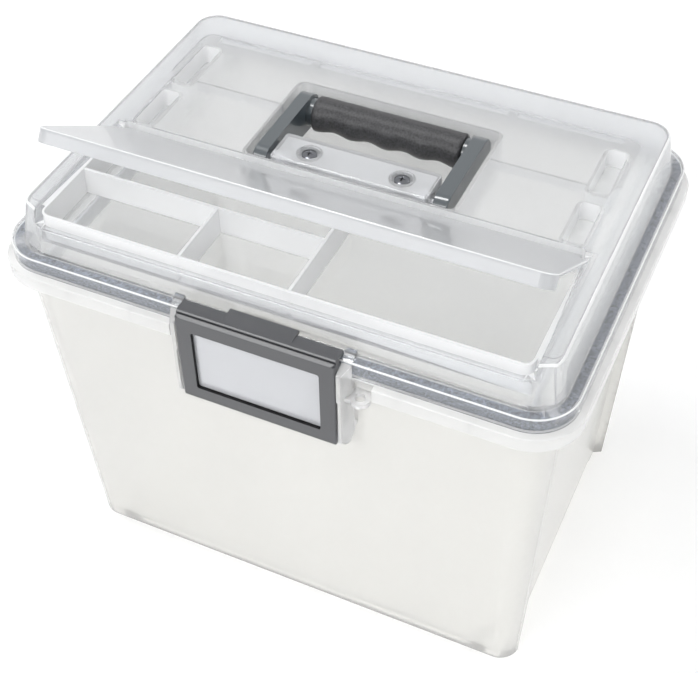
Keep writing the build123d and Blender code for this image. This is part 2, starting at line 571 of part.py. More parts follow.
def make_file_rail(side):
    """A strip with a rolled top edge that the files' hooks slide along."""
    x = side * RAIL_SPACING / 2
    rail_low = RAIL_TOP - RAIL_HEIGHT
    half = tub_half(rail_low, TUB_BOTTOM_WIDTH, TUB_TOP_WIDTH) - TUB_WALL - 1 - GAP
    web = block(x - RAIL_WEB / 2, x + RAIL_WEB / 2, -half, half, rail_low,
                RAIL_TOP - RAIL_BEAD_RADIUS)
    bead = Pos(x, 0, RAIL_TOP - RAIL_BEAD_RADIUS) * Rot(90, 0, 0) * Cylinder(
        RAIL_BEAD_RADIUS, 2 * half)
    return web + bead


# ---------------------------------------------------------------- lid
def riser_block(inset, top):
    """The lid's raised middle as a solid, all faces moved in by inset."""
    body = tapered(RISER_BASE_LENGTH - 2 * inset, RISER_BASE_WIDTH - 2 * inset,
                   RISER_BASE_RADIUS - inset, FLANGE_TOP - FLANGE_THICKNESS,
                   RISER_TOP_LENGTH - 2 * inset, RISER_TOP_WIDTH - 2 * inset,
                   RISER_TOP_RADIUS - inset, top)
    return body - both_sides(corner_facet(inset))


def corner_facet(inset):
    """What lies outside the slanted facet across the riser's right front corner."""
    turn = radians(FACET_TURN)
    lean = radians(FACET_LEAN)
    outward = (sin(turn) * cos(lean), -cos(turn) * cos(lean), sin(lean))
    end = (RISER_TOP_LENGTH / 2, FACET_REACH - RISER_TOP_WIDTH / 2, LID_TOP)
    size = 2 * FLANGE_RADIUS
    return Plane(origin=end, z_dir=outward) * Pos(0, 0, size / 2 - inset) * Box(size, size, size)


def flap_outline(grow, z0, z1):
    """Plan of the closed flap, grown all round, with rounded front corners."""
    rear = FLAP_REAR + 2 * FLAP_CORNER_RADIUS
    width = rear - FLAP_FRONT + grow
    plan = slab(FLAP_LENGTH + 2 * grow, width, FLAP_CORNER_RADIUS + grow, z0, z1,
                y=FLAP_FRONT - grow + width / 2)
    return plan & block(-RIM_LENGTH, RIM_LENGTH, FLAP_FRONT - grow, FLAP_REAR + grow, z0, z1)


def flap_seat(z0, z1):
    """Room for the closed flap in the lid's top, from its front face to its tail."""
    seat = flap_outline(FLAP_CLEARANCE, z0, z1)
    half = FLAP_LENGTH / 2 + FLAP_CLEARANCE
    return seat + block(-half, half, -RISER_BASE_WIDTH / 2, FLAP_FRONT + FLAP_CORNER_RADIUS,
                        z0, z1)


def make_lid():
    outer = riser_block(0, LID_TOP)
    outer = fillet(outer.faces().sort_by(Axis.Z)[-1].edges(), RISER_EDGE_RADIUS)
    shell = outer - riser_block(LID_WALL, LID_TOP - LID_WALL)

    # Wells let into the top: the tray, the pocket for the flap's lip, the handle's
    # recess and the side pockets. Each is a liner first and is hollowed afterwards.
    tray_half = TRAY_LENGTH / 2 + LID_WALL
    liners = block(-tray_half, tray_half, TRAY_FRONT - LID_WALL, TRAY_REAR + LID_WALL,
                   TRAY_FLOOR_TOP - TRAY_FLOOR, LID_TOP)
    lip_half = FLAP_LENGTH / 2 + FLAP_CLEARANCE + LID_WALL
    liners += block(-lip_half, lip_half, -RISER_BASE_WIDTH / 2,
                    FLAP_FRONT + FLAP_LIP_REACH + LID_WALL, LIP_LEDGE - LID_WALL, LID_TOP)
    side_half = FLAP_LENGTH / 2 + FLAP_CLEARANCE + LID_WALL
    liners += block(-side_half, side_half, FLAP_FRONT, TRAY_REAR,
                    LID_TOP - FLAP_WALL - LID_WALL, LID_TOP)
    liners += slab(RECESS_LENGTH + 2 * LID_WALL, RECESS_REAR - RECESS_FRONT + 2 * LID_WALL,
                   RECESS_RADIUS + LID_WALL, RECESS_FLOOR_TOP - TRAY_FLOOR, LID_TOP,
                   y=(RECESS_REAR + RECESS_FRONT) / 2)
    for y0, y1 in POCKET_SPANS:
        liners += both_sides(pocket(y0, y1, LID_WALL, LID_TOP - POCKET_DEPTH - LID_WALL))
    lid = shell + (liners & outer)

    # The rear field is sunk a little inside its border, with a groove across the back.
    lid -= slab(FIELD_LENGTH, 2 * FIELD_REAR, FIELD_RADIUS, LID_TOP - FIELD_SINK,
                LID_TOP + 1) & block(-FIELD_LENGTH, FIELD_LENGTH, TRAY_REAR, FIELD_REAR,
                                     0, LID_TOP + 1)
    groove_low = LID_TOP - FIELD_SINK - GROOVE_DEPTH
    groove_end = RECESS_LENGTH / 2
    lid -= both_sides(block(groove_end + GROOVE_LAND, POCKET_X, GROOVE_FRONT, FIELD_REAR,
                            groove_low, LID_TOP))
    lid -= block(GROOVE_LAND - groove_end, groove_end - GROOVE_LAND, GROOVE_FRONT, FIELD_REAR,
                 groove_low, LID_TOP)
    lid += both_sides(side_strip())

    lid -= slab(TRAY_LENGTH, TRAY_REAR - TRAY_FRONT, TRAY_CORNER_RADIUS, TRAY_FLOOR_TOP,
                LID_TOP + 1, y=(TRAY_REAR + TRAY_FRONT) / 2)
    lid -= slab(RECESS_LENGTH, RECESS_REAR - RECESS_FRONT, RECESS_RADIUS, RECESS_FLOOR_TOP,
                LID_TOP + 1, y=(RECESS_REAR + RECESS_FRONT) / 2)
    for y0, y1 in POCKET_SPANS:
        lid -= both_sides(pocket(y0, y1, 0, LID_TOP - POCKET_DEPTH))
    lid -= flap_seat(LID_TOP - FLAP_WALL - FLAP_SEAT_GAP, LID_TOP + 1)
    lip_room = flap_seat(LIP_LEDGE, LID_TOP)
    lip_room &= block(-RIM_LENGTH, RIM_LENGTH, -RISER_BASE_WIDTH,
                      FLAP_FRONT + FLAP_LIP_REACH, LIP_LEDGE, LID_TOP)
    rim_front = TRAY_FRONT - LID_WALL + TRAY_RIM_SETBACK
    rim_length = TRAY_LENGTH + 2 * TRAY_RIM_WALL
    lid -= lip_room - slab(rim_length, TRAY_REAR - rim_front, TRAY_CORNER_RADIUS + 2,
                           LIP_LEDGE, LID_TOP, y=(TRAY_REAR + rim_front) / 2)

    rib_inner = RECESS_LENGTH / 2 + LID_WALL - 0.5
    rib_outer = POCKET_X - POCKET_WIDTH / 2
    lid += both_sides(block(rib_inner, rib_outer, PANEL_RIB_Y - PANEL_RIB_WALL / 2,
                            PANEL_RIB_Y + PANEL_RIB_WALL / 2, LID_TOP - PANEL_RIB_DEPTH,
                            LID_TOP - LID_WALL + 0.4))

    lid += flange()
    lid += dividers()
    lid += screw_bosses()
    lid += both_sides(lid_knuckle())
    lid += both_sides(latch_guide())
    lid += snap_bead()

    lid -= both_sides(rod(TRAY_LENGTH / 2 - 1, TRAY_LENGTH / 2 + LID_WALL + 1, FLAP_AXIS_Y,
                          FLAP_AXIS_Z, FLAP_PIN_RADIUS + PIN_CLEARANCE))
    return lid


def side_strip():
    """Slightly raised strip along the right side of the lid's top."""
    x0 = FIELD_LENGTH / 2 - STRIP_OVERLAP
    x1 = RISER_TOP_LENGTH / 2 - RISER_EDGE_RADIUS
    y0 = FACET_REACH - RISER_TOP_WIDTH / 2 + RISER_EDGE_RADIUS
    y1 = PANEL_RIB_Y + STRIP_REAR_REACH
    return slab(x1 - x0, y1 - y0, STRIP_RADIUS, LID_TOP - FIELD_SINK - STRIP_HEIGHT,
                LID_TOP + STRIP_HEIGHT, x=(x0 + x1) / 2, y=(y0 + y1) / 2)


def pocket(y0, y1, grow, low):
    """One side pocket of the rear field, on the right."""
    return slab(POCKET_WIDTH + 2 * grow, y1 - y0 + 2 * grow, POCKET_RADIUS + grow, low,
                LID_TOP + (0 if grow else 1), x=POCKET_X, y=(y0 + y1) / 2)


def flange():
    """Flange round the riser, with the channel that holds the seal on its underside."""
    top_low = FLANGE_TOP - FLANGE_THICKNESS
    low = FLANGE_TOP - SKIRT_DEPTH
    skirt = slab(FLANGE_LENGTH, FLANGE_WIDTH, FLANGE_RADIUS, low, FLANGE_TOP)
    skirt = fillet(skirt.edges().group_by(Axis.Z)[-1], SKIRT_TOP_RADIUS)
    skirt = fillet(skirt.edges().group_by(Axis.Z)[0], SKIRT_FOOT_RADIUS)
    skirt -= slab(FLANGE_LENGTH - 2 * SKIRT_WALL, FLANGE_WIDTH - 2 * SKIRT_WALL,
                  FLANGE_RADIUS - SKIRT_WALL, low - 1, top_low)
    opening = slab(RISER_BASE_LENGTH - 2 * LID_WALL, RISER_BASE_WIDTH - 2 * LID_WALL,
                   RISER_BASE_RADIUS - LID_WALL, low - 1, FLANGE_TOP + 1)
    lip = ring(RISER_BASE_LENGTH, RISER_BASE_WIDTH, RISER_BASE_RADIUS, LID_WALL,
               FLANGE_TOP - INNER_LIP_DEPTH, top_low)
    return (skirt - opening) + lip


def dividers():
    """Drafted dividers that part the tray into four compartments."""
    top = LID_TOP - DIVIDER_DROP
    low = TRAY_FLOOR_TOP - 0.5
    half = DIVIDER_TOP_WALL / 2
    foot = half + DIVIDER_DRAFT

    def along_y(x, y0, y1):
        plan = Plane(origin=(0, y0, 0), x_dir=(1, 0, 0), z_dir=(0, -1, 0))
        outline = [(x - foot, low), (x + foot, low), (x + half, top), (x - half, top)]
        return extrude(plan * make_face(Polyline(*outline, close=True)), amount=y0 - y1)

    def along_x(y, x0, x1):
        outline = [(y - foot, low), (y + foot, low), (y + half, top), (y - half, top)]
        return section(outline, x0, x1)

    walls = along_y(LONG_DIVIDER_X, TRAY_FRONT - 0.5, TRAY_REAR + 0.5)
    walls += along_y(SHORT_DIVIDER_X, TRAY_FRONT - 0.5, TROUGH_DIVIDER_Y)
    walls += along_x(TROUGH_DIVIDER_Y, -TRAY_LENGTH / 2 - 0.5, LONG_DIVIDER_X)
    sweep = rod(LONG_DIVIDER_X - 3, LONG_DIVIDER_X + 3, FLAP_AXIS_Y, FLAP_AXIS_Z, FLAP_SWEEP)
    sweep += block(LONG_DIVIDER_X - 3, LONG_DIVIDER_X + 3, FLAP_AXIS_Y, TRAY_REAR,
                   FLAP_AXIS_Z, LID_TOP)
    return walls - sweep


def screw_bosses():
    """Round bosses under the handle recess that take the bracket's screws."""
    bosses = Part()
    for x in (-SCREW_X, SCREW_X):
        bosses += post(x, BRACKET_Y, LID_BOSS_LOW, RECESS_FLOOR_TOP - TRAY_FLOOR / 2,
                       LID_BOSS_RADIUS)
    return bosses


def lid_knuckle():
    """The lid's knuckle of the right-hand hinge, on a web from the flange's skirt."""
    x0 = HINGE_X - LID_KNUCKLE_LENGTH / 2
    x1 = HINGE_X + LID_KNUCKLE_LENGTH / 2
    skirt_face = FLANGE_WIDTH / 2
    web = block(x0, x1, skirt_face - 1, HINGE_AXIS_Y, FLANGE_TOP - SKIRT_DEPTH + 1,
                HINGE_AXIS_Z + LID_KNUCKLE_RADIUS)
    return web + rod(x0, x1, HINGE_AXIS_Y, HINGE_AXIS_Z, LID_KNUCKLE_RADIUS)


def latch_guide():
    """Guide on the flange that keeps the latch's hook in line, above the right cheek."""
    front = -FLANGE_WIDTH / 2 + SKIRT_TOP_RADIUS
    rear = front + GUIDE_LENGTH
    root = FLANGE_TOP - FLANGE_THICKNESS / 2
    outline = [(front, root), (front, FLANGE_TOP + 1), (rear - 2, FLANGE_TOP + GUIDE_RISE),
               (rear - 1, FLANGE_TOP + GUIDE_RISE), (rear, root)]
    return section(outline, CHEEK_INNER_X, CHEEK_OUTER_X)


def snap_bead():
    """Low bead on the flange that the latch's hook snaps over."""
    front = LATCH_HOOK_REAR - LATCH_HOOK_WALL - GAP - SNAP_BEAD_WIDTH
    half = LATCH_LENGTH / 2 - 4
    bead = block(-half, half, front, front + SNAP_BEAD_WIDTH, FLANGE_TOP - 0.5,
                 FLANGE_TOP + SNAP_BEAD_HEIGHT)
    return chamfer(bead.edges().filter_by(Axis.X).sort_by(Axis.Z)[-2:], 0.5)


def finish_lid(lid):
    """Bores that pass through the whole lid: the hinge pins' and the screws'."""
    reach = LID_KNUCKLE_LENGTH / 2 + 1
    lid -= both_sides(rod(HINGE_X - reach, HINGE_X + reach, HINGE_AXIS_Y, HINGE_AXIS_Z,
                          HINGE_PIN_RADIUS + PIN_CLEARANCE))
    for x in (-SCREW_X, SCREW_X):
        lid -= post(x, BRACKET_Y, LID_BOSS_LOW + 1, RECESS_FLOOR_TOP + 1,
                    SCREW_SHANK_RADIUS + SCREW_CLEARANCE)
    return lid


def make_seal():
    """Soft strip in the flange's channel, with two lips that press on the tub's bead."""
    channel_top = FLANGE_TOP - FLANGE_THICKNESS
    length = FLANGE_LENGTH - 2 * SKIRT_WALL - 2 * GAP
    width = FLANGE_WIDTH - 2 * SKIRT_WALL - 2 * GAP
    radius = FLANGE_RADIUS - SKIRT_WALL - GAP
    inner_length = RISER_BASE_LENGTH + 2 * GAP
    wall = (length - inner_length) / 2
    low = RIM_TOP + SEAL_BEAD_HEIGHT + GAP
    strip = ring(length, width, radius, wall, low, channel_top - GAP)
    groove = ring(length - wall, width - wall, radius - wall / 2, 1.0, low, low + 1.2)
    return strip - groove


# ---------------------------------------------------------------- tray flap
def make_flap():
    """Clear flap over the tray, made closed and then turned to where it stands."""
    low = LID_TOP - FLAP_WALL
    lip_low = LID_TOP - FLAP_LIP
    flap = flap_outline(0, lip_low, LID_TOP)
    rim_edges = flap.faces().sort_by(Axis.Z)[-1].edges().sort_by(Axis.Y)[:-1]
    flap = fillet(rim_edges, FLAP_EDGE_RADIUS)
    flap -= flap_outline(-FLAP_LIP_WALL, lip_low - 1, low)
    flap -= block(-FLAP_LENGTH, FLAP_LENGTH, FLAP_FRONT + FLAP_LIP_REACH - 1, 0,
                  lip_low - 1, low)
    tail = TRAY_LENGTH / 2 - FLAP_TAIL_GAP
    flap -= both_sides(block(tail, FLAP_LENGTH, FLAP_AXIS_Y - FLAP_TAIL, 0, low - 1,
                             LID_TOP + 1))
    inner_face = TRAY_LENGTH / 2 - 2 * GAP
    ear_inner = inner_face - FLAP_EAR_WALL
    ear = rod(ear_inner, inner_face, FLAP_AXIS_Y, FLAP_AXIS_Z, FLAP_EAR_RADIUS)
    ear += block(ear_inner, inner_face, FLAP_AXIS_Y - FLAP_EAR_RADIUS,
                 FLAP_AXIS_Y + FLAP_EAR_RADIUS, FLAP_AXIS_Z, low + 0.5)
    ear += rod(inner_face - 0.5, TRAY_LENGTH / 2 + LID_WALL, FLAP_AXIS_Y, FLAP_AXIS_Z,
               FLAP_PIN_RADIUS)
    flap += both_sides(ear)
    hinge = Axis((0, FLAP_AXIS_Y, FLAP_AXIS_Z), (-1, 0, 0))
    return flap.rotate(hinge, FLAP_OPEN_ANGLE)


# ---------------------------------------------------------------- handle
def arm_profile(radius_front, radius_grip, x0, x1):
    """A link between the handle's pivot and the grip's axis, rounded at both ends."""
    run = GRIP_AXIS_Y - HANDLE_AXIS_Y
    drop = HANDLE_AXIS_Z - GRIP_AXIS_Z
    length = (run ** 2 + drop ** 2) ** 0.5
    tilt = atan2(-drop, run)
    spread = atan2(radius_grip - radius_front, length)
    upper = tilt + radians(90) + spread
    lower = tilt - radians(90) - spread
    link = rod(x0, x1, HANDLE_AXIS_Y, HANDLE_AXIS_Z, radius_front)
    link += rod(x0, x1, GRIP_AXIS_Y, GRIP_AXIS_Z, radius_grip)
    corners = []
    for angle, order in ((upper, (0, 1)), (lower, (1, 0))):
        ends = ((HANDLE_AXIS_Y, HANDLE_AXIS_Z, radius_front),
                (GRIP_AXIS_Y, GRIP_AXIS_Z, radius_grip))
        for index in order:
            y, z, radius = ends[index]
            corners.append((y + radius * cos(angle), z + radius * sin(angle)))
    return link + section(corners, x0, x1)


def make_arm(side):
    """One side arm of the handle, with a collar at the grip and bevelled outer edges."""
    outer_x = HANDLE_OUTER_LENGTH / 2
    arm = arm_profile(ARM_END_RADIUS, GRIP_RADIUS, ARM_INNER_X, outer_x)
    arm = chamfer(arm.faces().sort_by(Axis.X)[-1].edges(), ARM_BEVEL)
    arm += rod(GRIP_LENGTH / 2 + GAP, ARM_INNER_X + 1, GRIP_AXIS_Y, GRIP_AXIS_Z,
               COLLAR_RADIUS)
    arm -= rod(GRIP_LENGTH / 2, CORE_LENGTH / 2 + GAP, GRIP_AXIS_Y, GRIP_AXIS_Z,
               CORE_RADIUS + PIN_CLEARANCE)
    arm -= rod(ARM_INNER_X - 1, HANDLE_PIN_OUTER_X + GAP, HANDLE_AXIS_Y, HANDLE_AXIS_Z,
               HANDLE_PIN_RADIUS + PIN_CLEARANCE)
    return arm if side > 0 else mirror(arm, about=Plane.YZ)


def make_core():
    """Steel bar inside the grip that joins the two arms."""
    return rod(-CORE_LENGTH / 2, CORE_LENGTH / 2, GRIP_AXIS_Y, GRIP_AXIS_Z, CORE_RADIUS)


def make_grip():
    """Soft sleeve round the bar, with finger grooves on its front underside."""
    half = GRIP_LENGTH / 2
    grip = rod(-half, half, GRIP_AXIS_Y, GRIP_AXIS_Z, GRIP_RADIUS)
    grip = fillet(grip.edges(), GRIP_END_RADIUS)
    reach = GRIP_RADIUS + FINGER_GROOVE_RADIUS - FINGER_GROOVE_DEPTH
    slant = Rot(45, 0, 0)
    for index in range(FINGER_GROOVES):
        x = (index - (FINGER_GROOVES - 1) / 2) * FINGER_PITCH
        cutter = Pos(x, 0, -reach) * Rot(90, 0, 0) * Cylinder(FINGER_GROOVE_RADIUS,
                                                              4 * GRIP_RADIUS)
        grip -= Pos(0, GRIP_AXIS_Y, GRIP_AXIS_Z) * slant.inverse() * cutter
    return grip - rod(-half - 1, half + 1, GRIP_AXIS_Y, GRIP_AXIS_Z,
                      CORE_RADIUS + PIN_CLEARANCE)


def make_handle_pin(side):
    """Short steel pin that an arm turns on, held in the bracket's end boss."""
    pin = rod(HANDLE_PIN_INNER_X, HANDLE_PIN_OUTER_X, HANDLE_AXIS_Y, HANDLE_AXIS_Z,
              HANDLE_PIN_RADIUS)
    return pin if side > 0 else mirror(pin, about=Plane.YZ)


def make_bracket():
    """Hollow bracket that holds the handle's pins down on the lid."""
    length = BRACKET_LENGTH
    width = BRACKET_WIDTH
    body = slab(length, width, BRACKET_RADIUS, RECESS_FLOOR_TOP, HANDLE_TOP, y=BRACKET_Y)
    body = fillet(body.faces().sort_by(Axis.Z)[-1].edges(), BRACKET_EDGE_RADIUS)
    body -= slab(length - 2 * BRACKET_WALL, width - 2 * BRACKET_WALL, 0.8,
                 RECESS_FLOOR_TOP, HANDLE_TOP - BRACKET_WALL, y=BRACKET_Y)
    inner = body.bounding_box()
    room = block(inner.min.X, inner.max.X, inner.min.Y, inner.max.Y,
                 RECESS_FLOOR_TOP, HANDLE_TOP - BRACKET_WALL / 2)
    posts = Part()
    for x in (-SCREW_X, SCREW_X):
        posts += post(x, BRACKET_Y, RECESS_FLOOR_TOP, HANDLE_TOP - BRACKET_WALL / 2,
                      COUNTERBORE_RADIUS + SCREW_POST_WALL)
    bosses = both_sides(rod(HANDLE_PIN_INNER_X - 2, length / 2 - 0.5, HANDLE_AXIS_Y,
                            HANDLE_AXIS_Z, PIN_BOSS_RADIUS))
    body += (posts + bosses) & room
    for x in (-SCREW_X, SCREW_X):
        body -= post(x, BRACKET_Y, HANDLE_TOP - COUNTERBORE_DEPTH, HANDLE_TOP + 1,
                     COUNTERBORE_RADIUS)
        body -= post(x, BRACKET_Y, RECESS_FLOOR_TOP - 1, HANDLE_TOP,
                     SCREW_SHANK_RADIUS + SCREW_CLEARANCE)
    body -= both_sides(rod(HANDLE_PIN_INNER_X - GAP, length / 2 + 1, HANDLE_AXIS_Y,
                           HANDLE_AXIS_Z, HANDLE_PIN_RADIUS + PIN_CLEARANCE))
    return body


def make_screws():
    """Two pan-head screws with a cross recess that hold the bracket down."""
    screws = Part()
    seat = HANDLE_TOP - COUNTERBORE_DEPTH
    for x in (-SCREW_X, SCREW_X):
        head = post(x, BRACKET_Y, seat, seat + SCREW_HEAD_HEIGHT, SCREW_HEAD_RADIUS)
        head = fillet(head.edges().group_by(Axis.Z)[-1], SCREW_SLOT_WIDTH)
        for turn in (0, 90):
            head -= Pos(x, BRACKET_Y, seat + SCREW_HEAD_HEIGHT) * Rot(0, 0, turn) * Box(
                SCREW_SLOT_LENGTH, SCREW_SLOT_WIDTH, SCREW_HEAD_HEIGHT)
        shank = post(x, BRACKET_Y, LID_BOSS_LOW + SCREW_TIP_GAP, seat, SCREW_SHANK_RADIUS)
        screws += head + shank
    return screws


# ---------------------------------------------------------------- latch
def make_latch():
    """Latch frame: a bezel round the label, a hook over the lid and a pivot barrel."""
    half = LATCH_LENGTH / 2
    hook_low = FLANGE_TOP + GAP
    under = LATCH_TOP - LATCH_TOP_WALL
    outline = [(LATCH_FRONT, LATCH_BOTTOM), (LATCH_FRONT, LATCH_SHOULDER),
               (LATCH_FRONT + LATCH_BEVEL, LATCH_TOP), (LATCH_HOOK_REAR, LATCH_TOP),
               (LATCH_HOOK_REAR, hook_low), (LATCH_HOOK_REAR - LATCH_HOOK_WALL, hook_low),
               (LATCH_HOOK_REAR - LATCH_HOOK_WALL, under), (LATCH_REAR, under),
               (LATCH_REAR, LATCH_BOTTOM)]
    latch = section(outline, -half, half)
    latch = fillet(latch.edges().filter_by(Axis.Z).group_by(Axis.Y)[0], LATCH_EDGE_RADIUS)
    latch = fillet(latch.edges().filter_by(Axis.X).group_by(Axis.Y)[0], LATCH_TOP_RADIUS)

    crown_depth = 2 * (LATCH_HOOK_REAR - LATCH_FRONT)
    crown = slab(LATCH_LENGTH, crown_depth, LATCH_CROWN_RADIUS, LATCH_SHOULDER, LATCH_TOP + 1,
                 y=LATCH_FRONT + crown_depth / 2)
    latch -= block(-half - 1, half + 1, LATCH_FRONT - 1, LATCH_FRONT + LATCH_CROWN_RADIUS,
                   LATCH_SHOULDER, LATCH_TOP + 1) - crown

    tab_low = under + TAB_RISE
    tab = [(LATCH_FRONT + LATCH_BEVEL + 2, LATCH_TOP - 0.5),
           (LATCH_FRONT + LATCH_BEVEL + 2, LATCH_TOP),
           (LATCH_HOOK_REAR - 1, LATCH_TOP + TAB_RISE),
           (LATCH_HOOK_REAR + TAB_REACH, LATCH_TOP + TAB_RISE),
           (LATCH_HOOK_REAR + TAB_REACH, tab_low), (LATCH_HOOK_REAR - 1, tab_low)]
    latch += section(tab, -TAB_LENGTH / 2, TAB_LENGTH / 2)

    window = block(-WINDOW_LENGTH / 2, WINDOW_LENGTH / 2, LATCH_FRONT - 1, LATCH_REAR + 1,
                   WINDOW_BOTTOM, WINDOW_BOTTOM + WINDOW_HEIGHT)
    latch -= fillet(window.edges().filter_by(Axis.Y), WINDOW_CORNER_RADIUS)
    pocket_half = CARD_LENGTH / 2 + CARD_POCKET_MARGIN
    pocket_rise = CARD_HEIGHT / 2 + CARD_POCKET_MARGIN
    latch -= block(-pocket_half, pocket_half, LATCH_FRONT + BEZEL, LATCH_REAR + 1,
                   WINDOW_Z - pocket_rise, WINDOW_Z + pocket_rise)
    clip_low = BACK_FRONT + BACK_THICKNESS + LAYER_GAP
    for x in (-CLIP_X, CLIP_X):
        for z, rise in ((WINDOW_Z - pocket_rise, CLIP_HEIGHT),
                        (WINDOW_Z + pocket_rise, -CLIP_HEIGHT)):
            latch += block(x - CLIP_LENGTH / 2, x + CLIP_LENGTH / 2, clip_low,
                           clip_low + CLIP_THICKNESS, min(z, z + rise), max(z, z + rise))
    latch += rod(-half, half, LATCH_AXIS_Y, LATCH_AXIS_Z, LATCH_BARREL_RADIUS)
    return latch - rod(-half - 1, half + 1, LATCH_AXIS_Y, LATCH_AXIS_Z,
                       LATCH_PIN_RADIUS + PIN_CLEARANCE)


def card_layer(front, thickness, length, height):
    """One flat layer in the latch's label pocket."""
    return block(-length / 2, length / 2, front, front + thickness, WINDOW_Z - height / 2,
                 WINDOW_Z + height / 2)


# ---------------------------------------------------------------- pins
def hinge_pin(side):
    """Steel pin through one lid hinge."""
    reach = LID_KNUCKLE_LENGTH / 2 + HINGE_SIDE_GAP + TUB_EAR_LENGTH
    x = side * HINGE_X
    return rod(x - reach, x + reach, HINGE_AXIS_Y, HINGE_AXIS_Z, HINGE_PIN_RADIUS)


def latch_pin():
    """Steel pin through both cheeks and the latch's barrel."""
    return rod(-LATCH_PIN_REACH, LATCH_PIN_REACH, LATCH_AXIS_Y, LATCH_AXIS_Z,
               LATCH_PIN_RADIUS)


# ---------------------------------------------------------------- build
nodes = {
    "tub": make_tub(),
    "file_rail_left": make_file_rail(-1),
    "file_rail_right": make_file_rail(1),
    "lid_shell": finish_lid(make_lid()),
    "lid_seal": make_seal(),
    "tray_flap": make_flap(),
    "handle_arm_left": make_arm(-1),
    "handle_arm_right": make_arm(1),
    "handle_core_bar": make_core(),
    "handle_grip": make_grip(),
    "handle_pin_left": make_handle_pin(-1),
    "handle_pin_right": make_handle_pin(1),
    "handle_bracket": make_bracket(),
    "bracket_screws": make_screws(),
    "latch_frame": make_latch(),
    "latch_window": card_layer(WINDOW_FRONT, WINDOW_THICKNESS, LAYER_LENGTH, LAYER_HEIGHT),
    "label_card": card_layer(CARD_FRONT, CARD_THICKNESS, CARD_LENGTH, CARD_HEIGHT),
    "latch_back": card_layer(BACK_FRONT, BACK_THICKNESS, LAYER_LENGTH, LAYER_HEIGHT),
    "latch_pin": latch_pin(),
    "hinge_pin_left": hinge_pin(-1),
    "hinge_pin_right": hinge_pin(1),
}

for name, shape in nodes.items():
    export_step(shape, f"parts/{name}.step")
    box = shape.bounding_box()
    print(name, len(shape.solids()), round(shape.volume), box.min, box.max)
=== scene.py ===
from math import cos, exp, hypot, pi, radians, sin

import bmesh
import bpy
from mathutils import Matrix, Vector


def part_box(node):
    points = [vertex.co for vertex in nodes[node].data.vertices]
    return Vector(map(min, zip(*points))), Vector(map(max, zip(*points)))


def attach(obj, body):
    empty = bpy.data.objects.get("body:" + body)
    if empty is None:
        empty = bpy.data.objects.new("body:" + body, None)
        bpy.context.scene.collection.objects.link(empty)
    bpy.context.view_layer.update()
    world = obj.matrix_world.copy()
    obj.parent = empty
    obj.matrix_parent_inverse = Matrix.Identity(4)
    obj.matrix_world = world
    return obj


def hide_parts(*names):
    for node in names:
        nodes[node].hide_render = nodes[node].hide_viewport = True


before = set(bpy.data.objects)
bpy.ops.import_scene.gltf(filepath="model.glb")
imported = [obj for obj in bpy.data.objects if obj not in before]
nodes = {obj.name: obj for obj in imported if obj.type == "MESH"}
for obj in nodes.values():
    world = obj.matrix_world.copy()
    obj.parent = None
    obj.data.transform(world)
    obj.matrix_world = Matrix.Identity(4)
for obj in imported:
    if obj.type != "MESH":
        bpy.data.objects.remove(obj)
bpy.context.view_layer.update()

scene = bpy.context.scene
MM = 0.001

# ---------------------------------------------------------------- studio
# The box stands on a pale floor that runs out to white, lit by four soft panels and an
# even room. The camera looks down on it from in front, a little to the right.
CAMERA_AT = (0.282293, -0.612408, 0.832061)
CAMERA_YAW = -25.2461
CAMERA_TILT = 45.1939
CAMERA_ROLL = -0.8717
CAMERA_LENS_MM = 69.524
ROOM_FILL = 0.66
ROOM_TINT = (0.985, 0.99, 1.0, 1)
FLOOR_HALF = 8.0
FLOOR_PAINT = (0.8, 0.8, 0.8, 1)
NEAR_GLOW, FAR_GLOW = 0.03, 0.5
GLOW_FROM, GLOW_TO = 0.25, 2.6
WHITE = (1, 1, 1, 1)
SEEN_RAYS = ("Is Camera Ray", "Is Glossy Ray", "Is Transmission Ray")

yaw, tilt, roll = (radians(a) for a in (CAMERA_YAW, CAMERA_TILT, CAMERA_ROLL))
forward = Vector((sin(yaw) * cos(tilt), cos(yaw) * cos(tilt), -sin(tilt)))
level_right = Vector((cos(yaw), -sin(yaw), 0.0))
level_up = level_right.cross(forward)
right = cos(roll) * level_right + sin(roll) * level_up
up = -sin(roll) * level_right + cos(roll) * level_up
camera_data = bpy.data.cameras.new("studio_camera")
camera_data.sensor_fit = "HORIZONTAL"
camera_data.sensor_width = 36.0
camera_data.lens = CAMERA_LENS_MM
camera_data.clip_end = 50.0
camera = bpy.data.objects.new("studio_camera", camera_data)
turn = Matrix((right, up, -forward)).transposed().to_4x4()
camera.matrix_world = Matrix.Translation(CAMERA_AT) @ turn
scene.collection.objects.link(camera)
scene.camera = camera
scene.view_settings.view_transform = "Standard"


def node(tree, kind, inputs=None, **settings):
    """A new node with its settings and unlinked inputs filled in."""
    made = tree.nodes.new(kind)
    for key, value in settings.items():
        setattr(made, key, value)
    for key, value in (inputs or {}).items():
        made.inputs[key].default_value = value
    return made


def largest(tree, *sockets):
    """The largest of several values."""
    first = sockets[0]
    for socket in sockets[1:]:
        pick = node(tree, "ShaderNodeMath", operation="MAXIMUM")
        tree.links.new(first, pick.inputs[0])
        tree.links.new(socket, pick.inputs[1])
        first = pick.outputs[0]
    return first


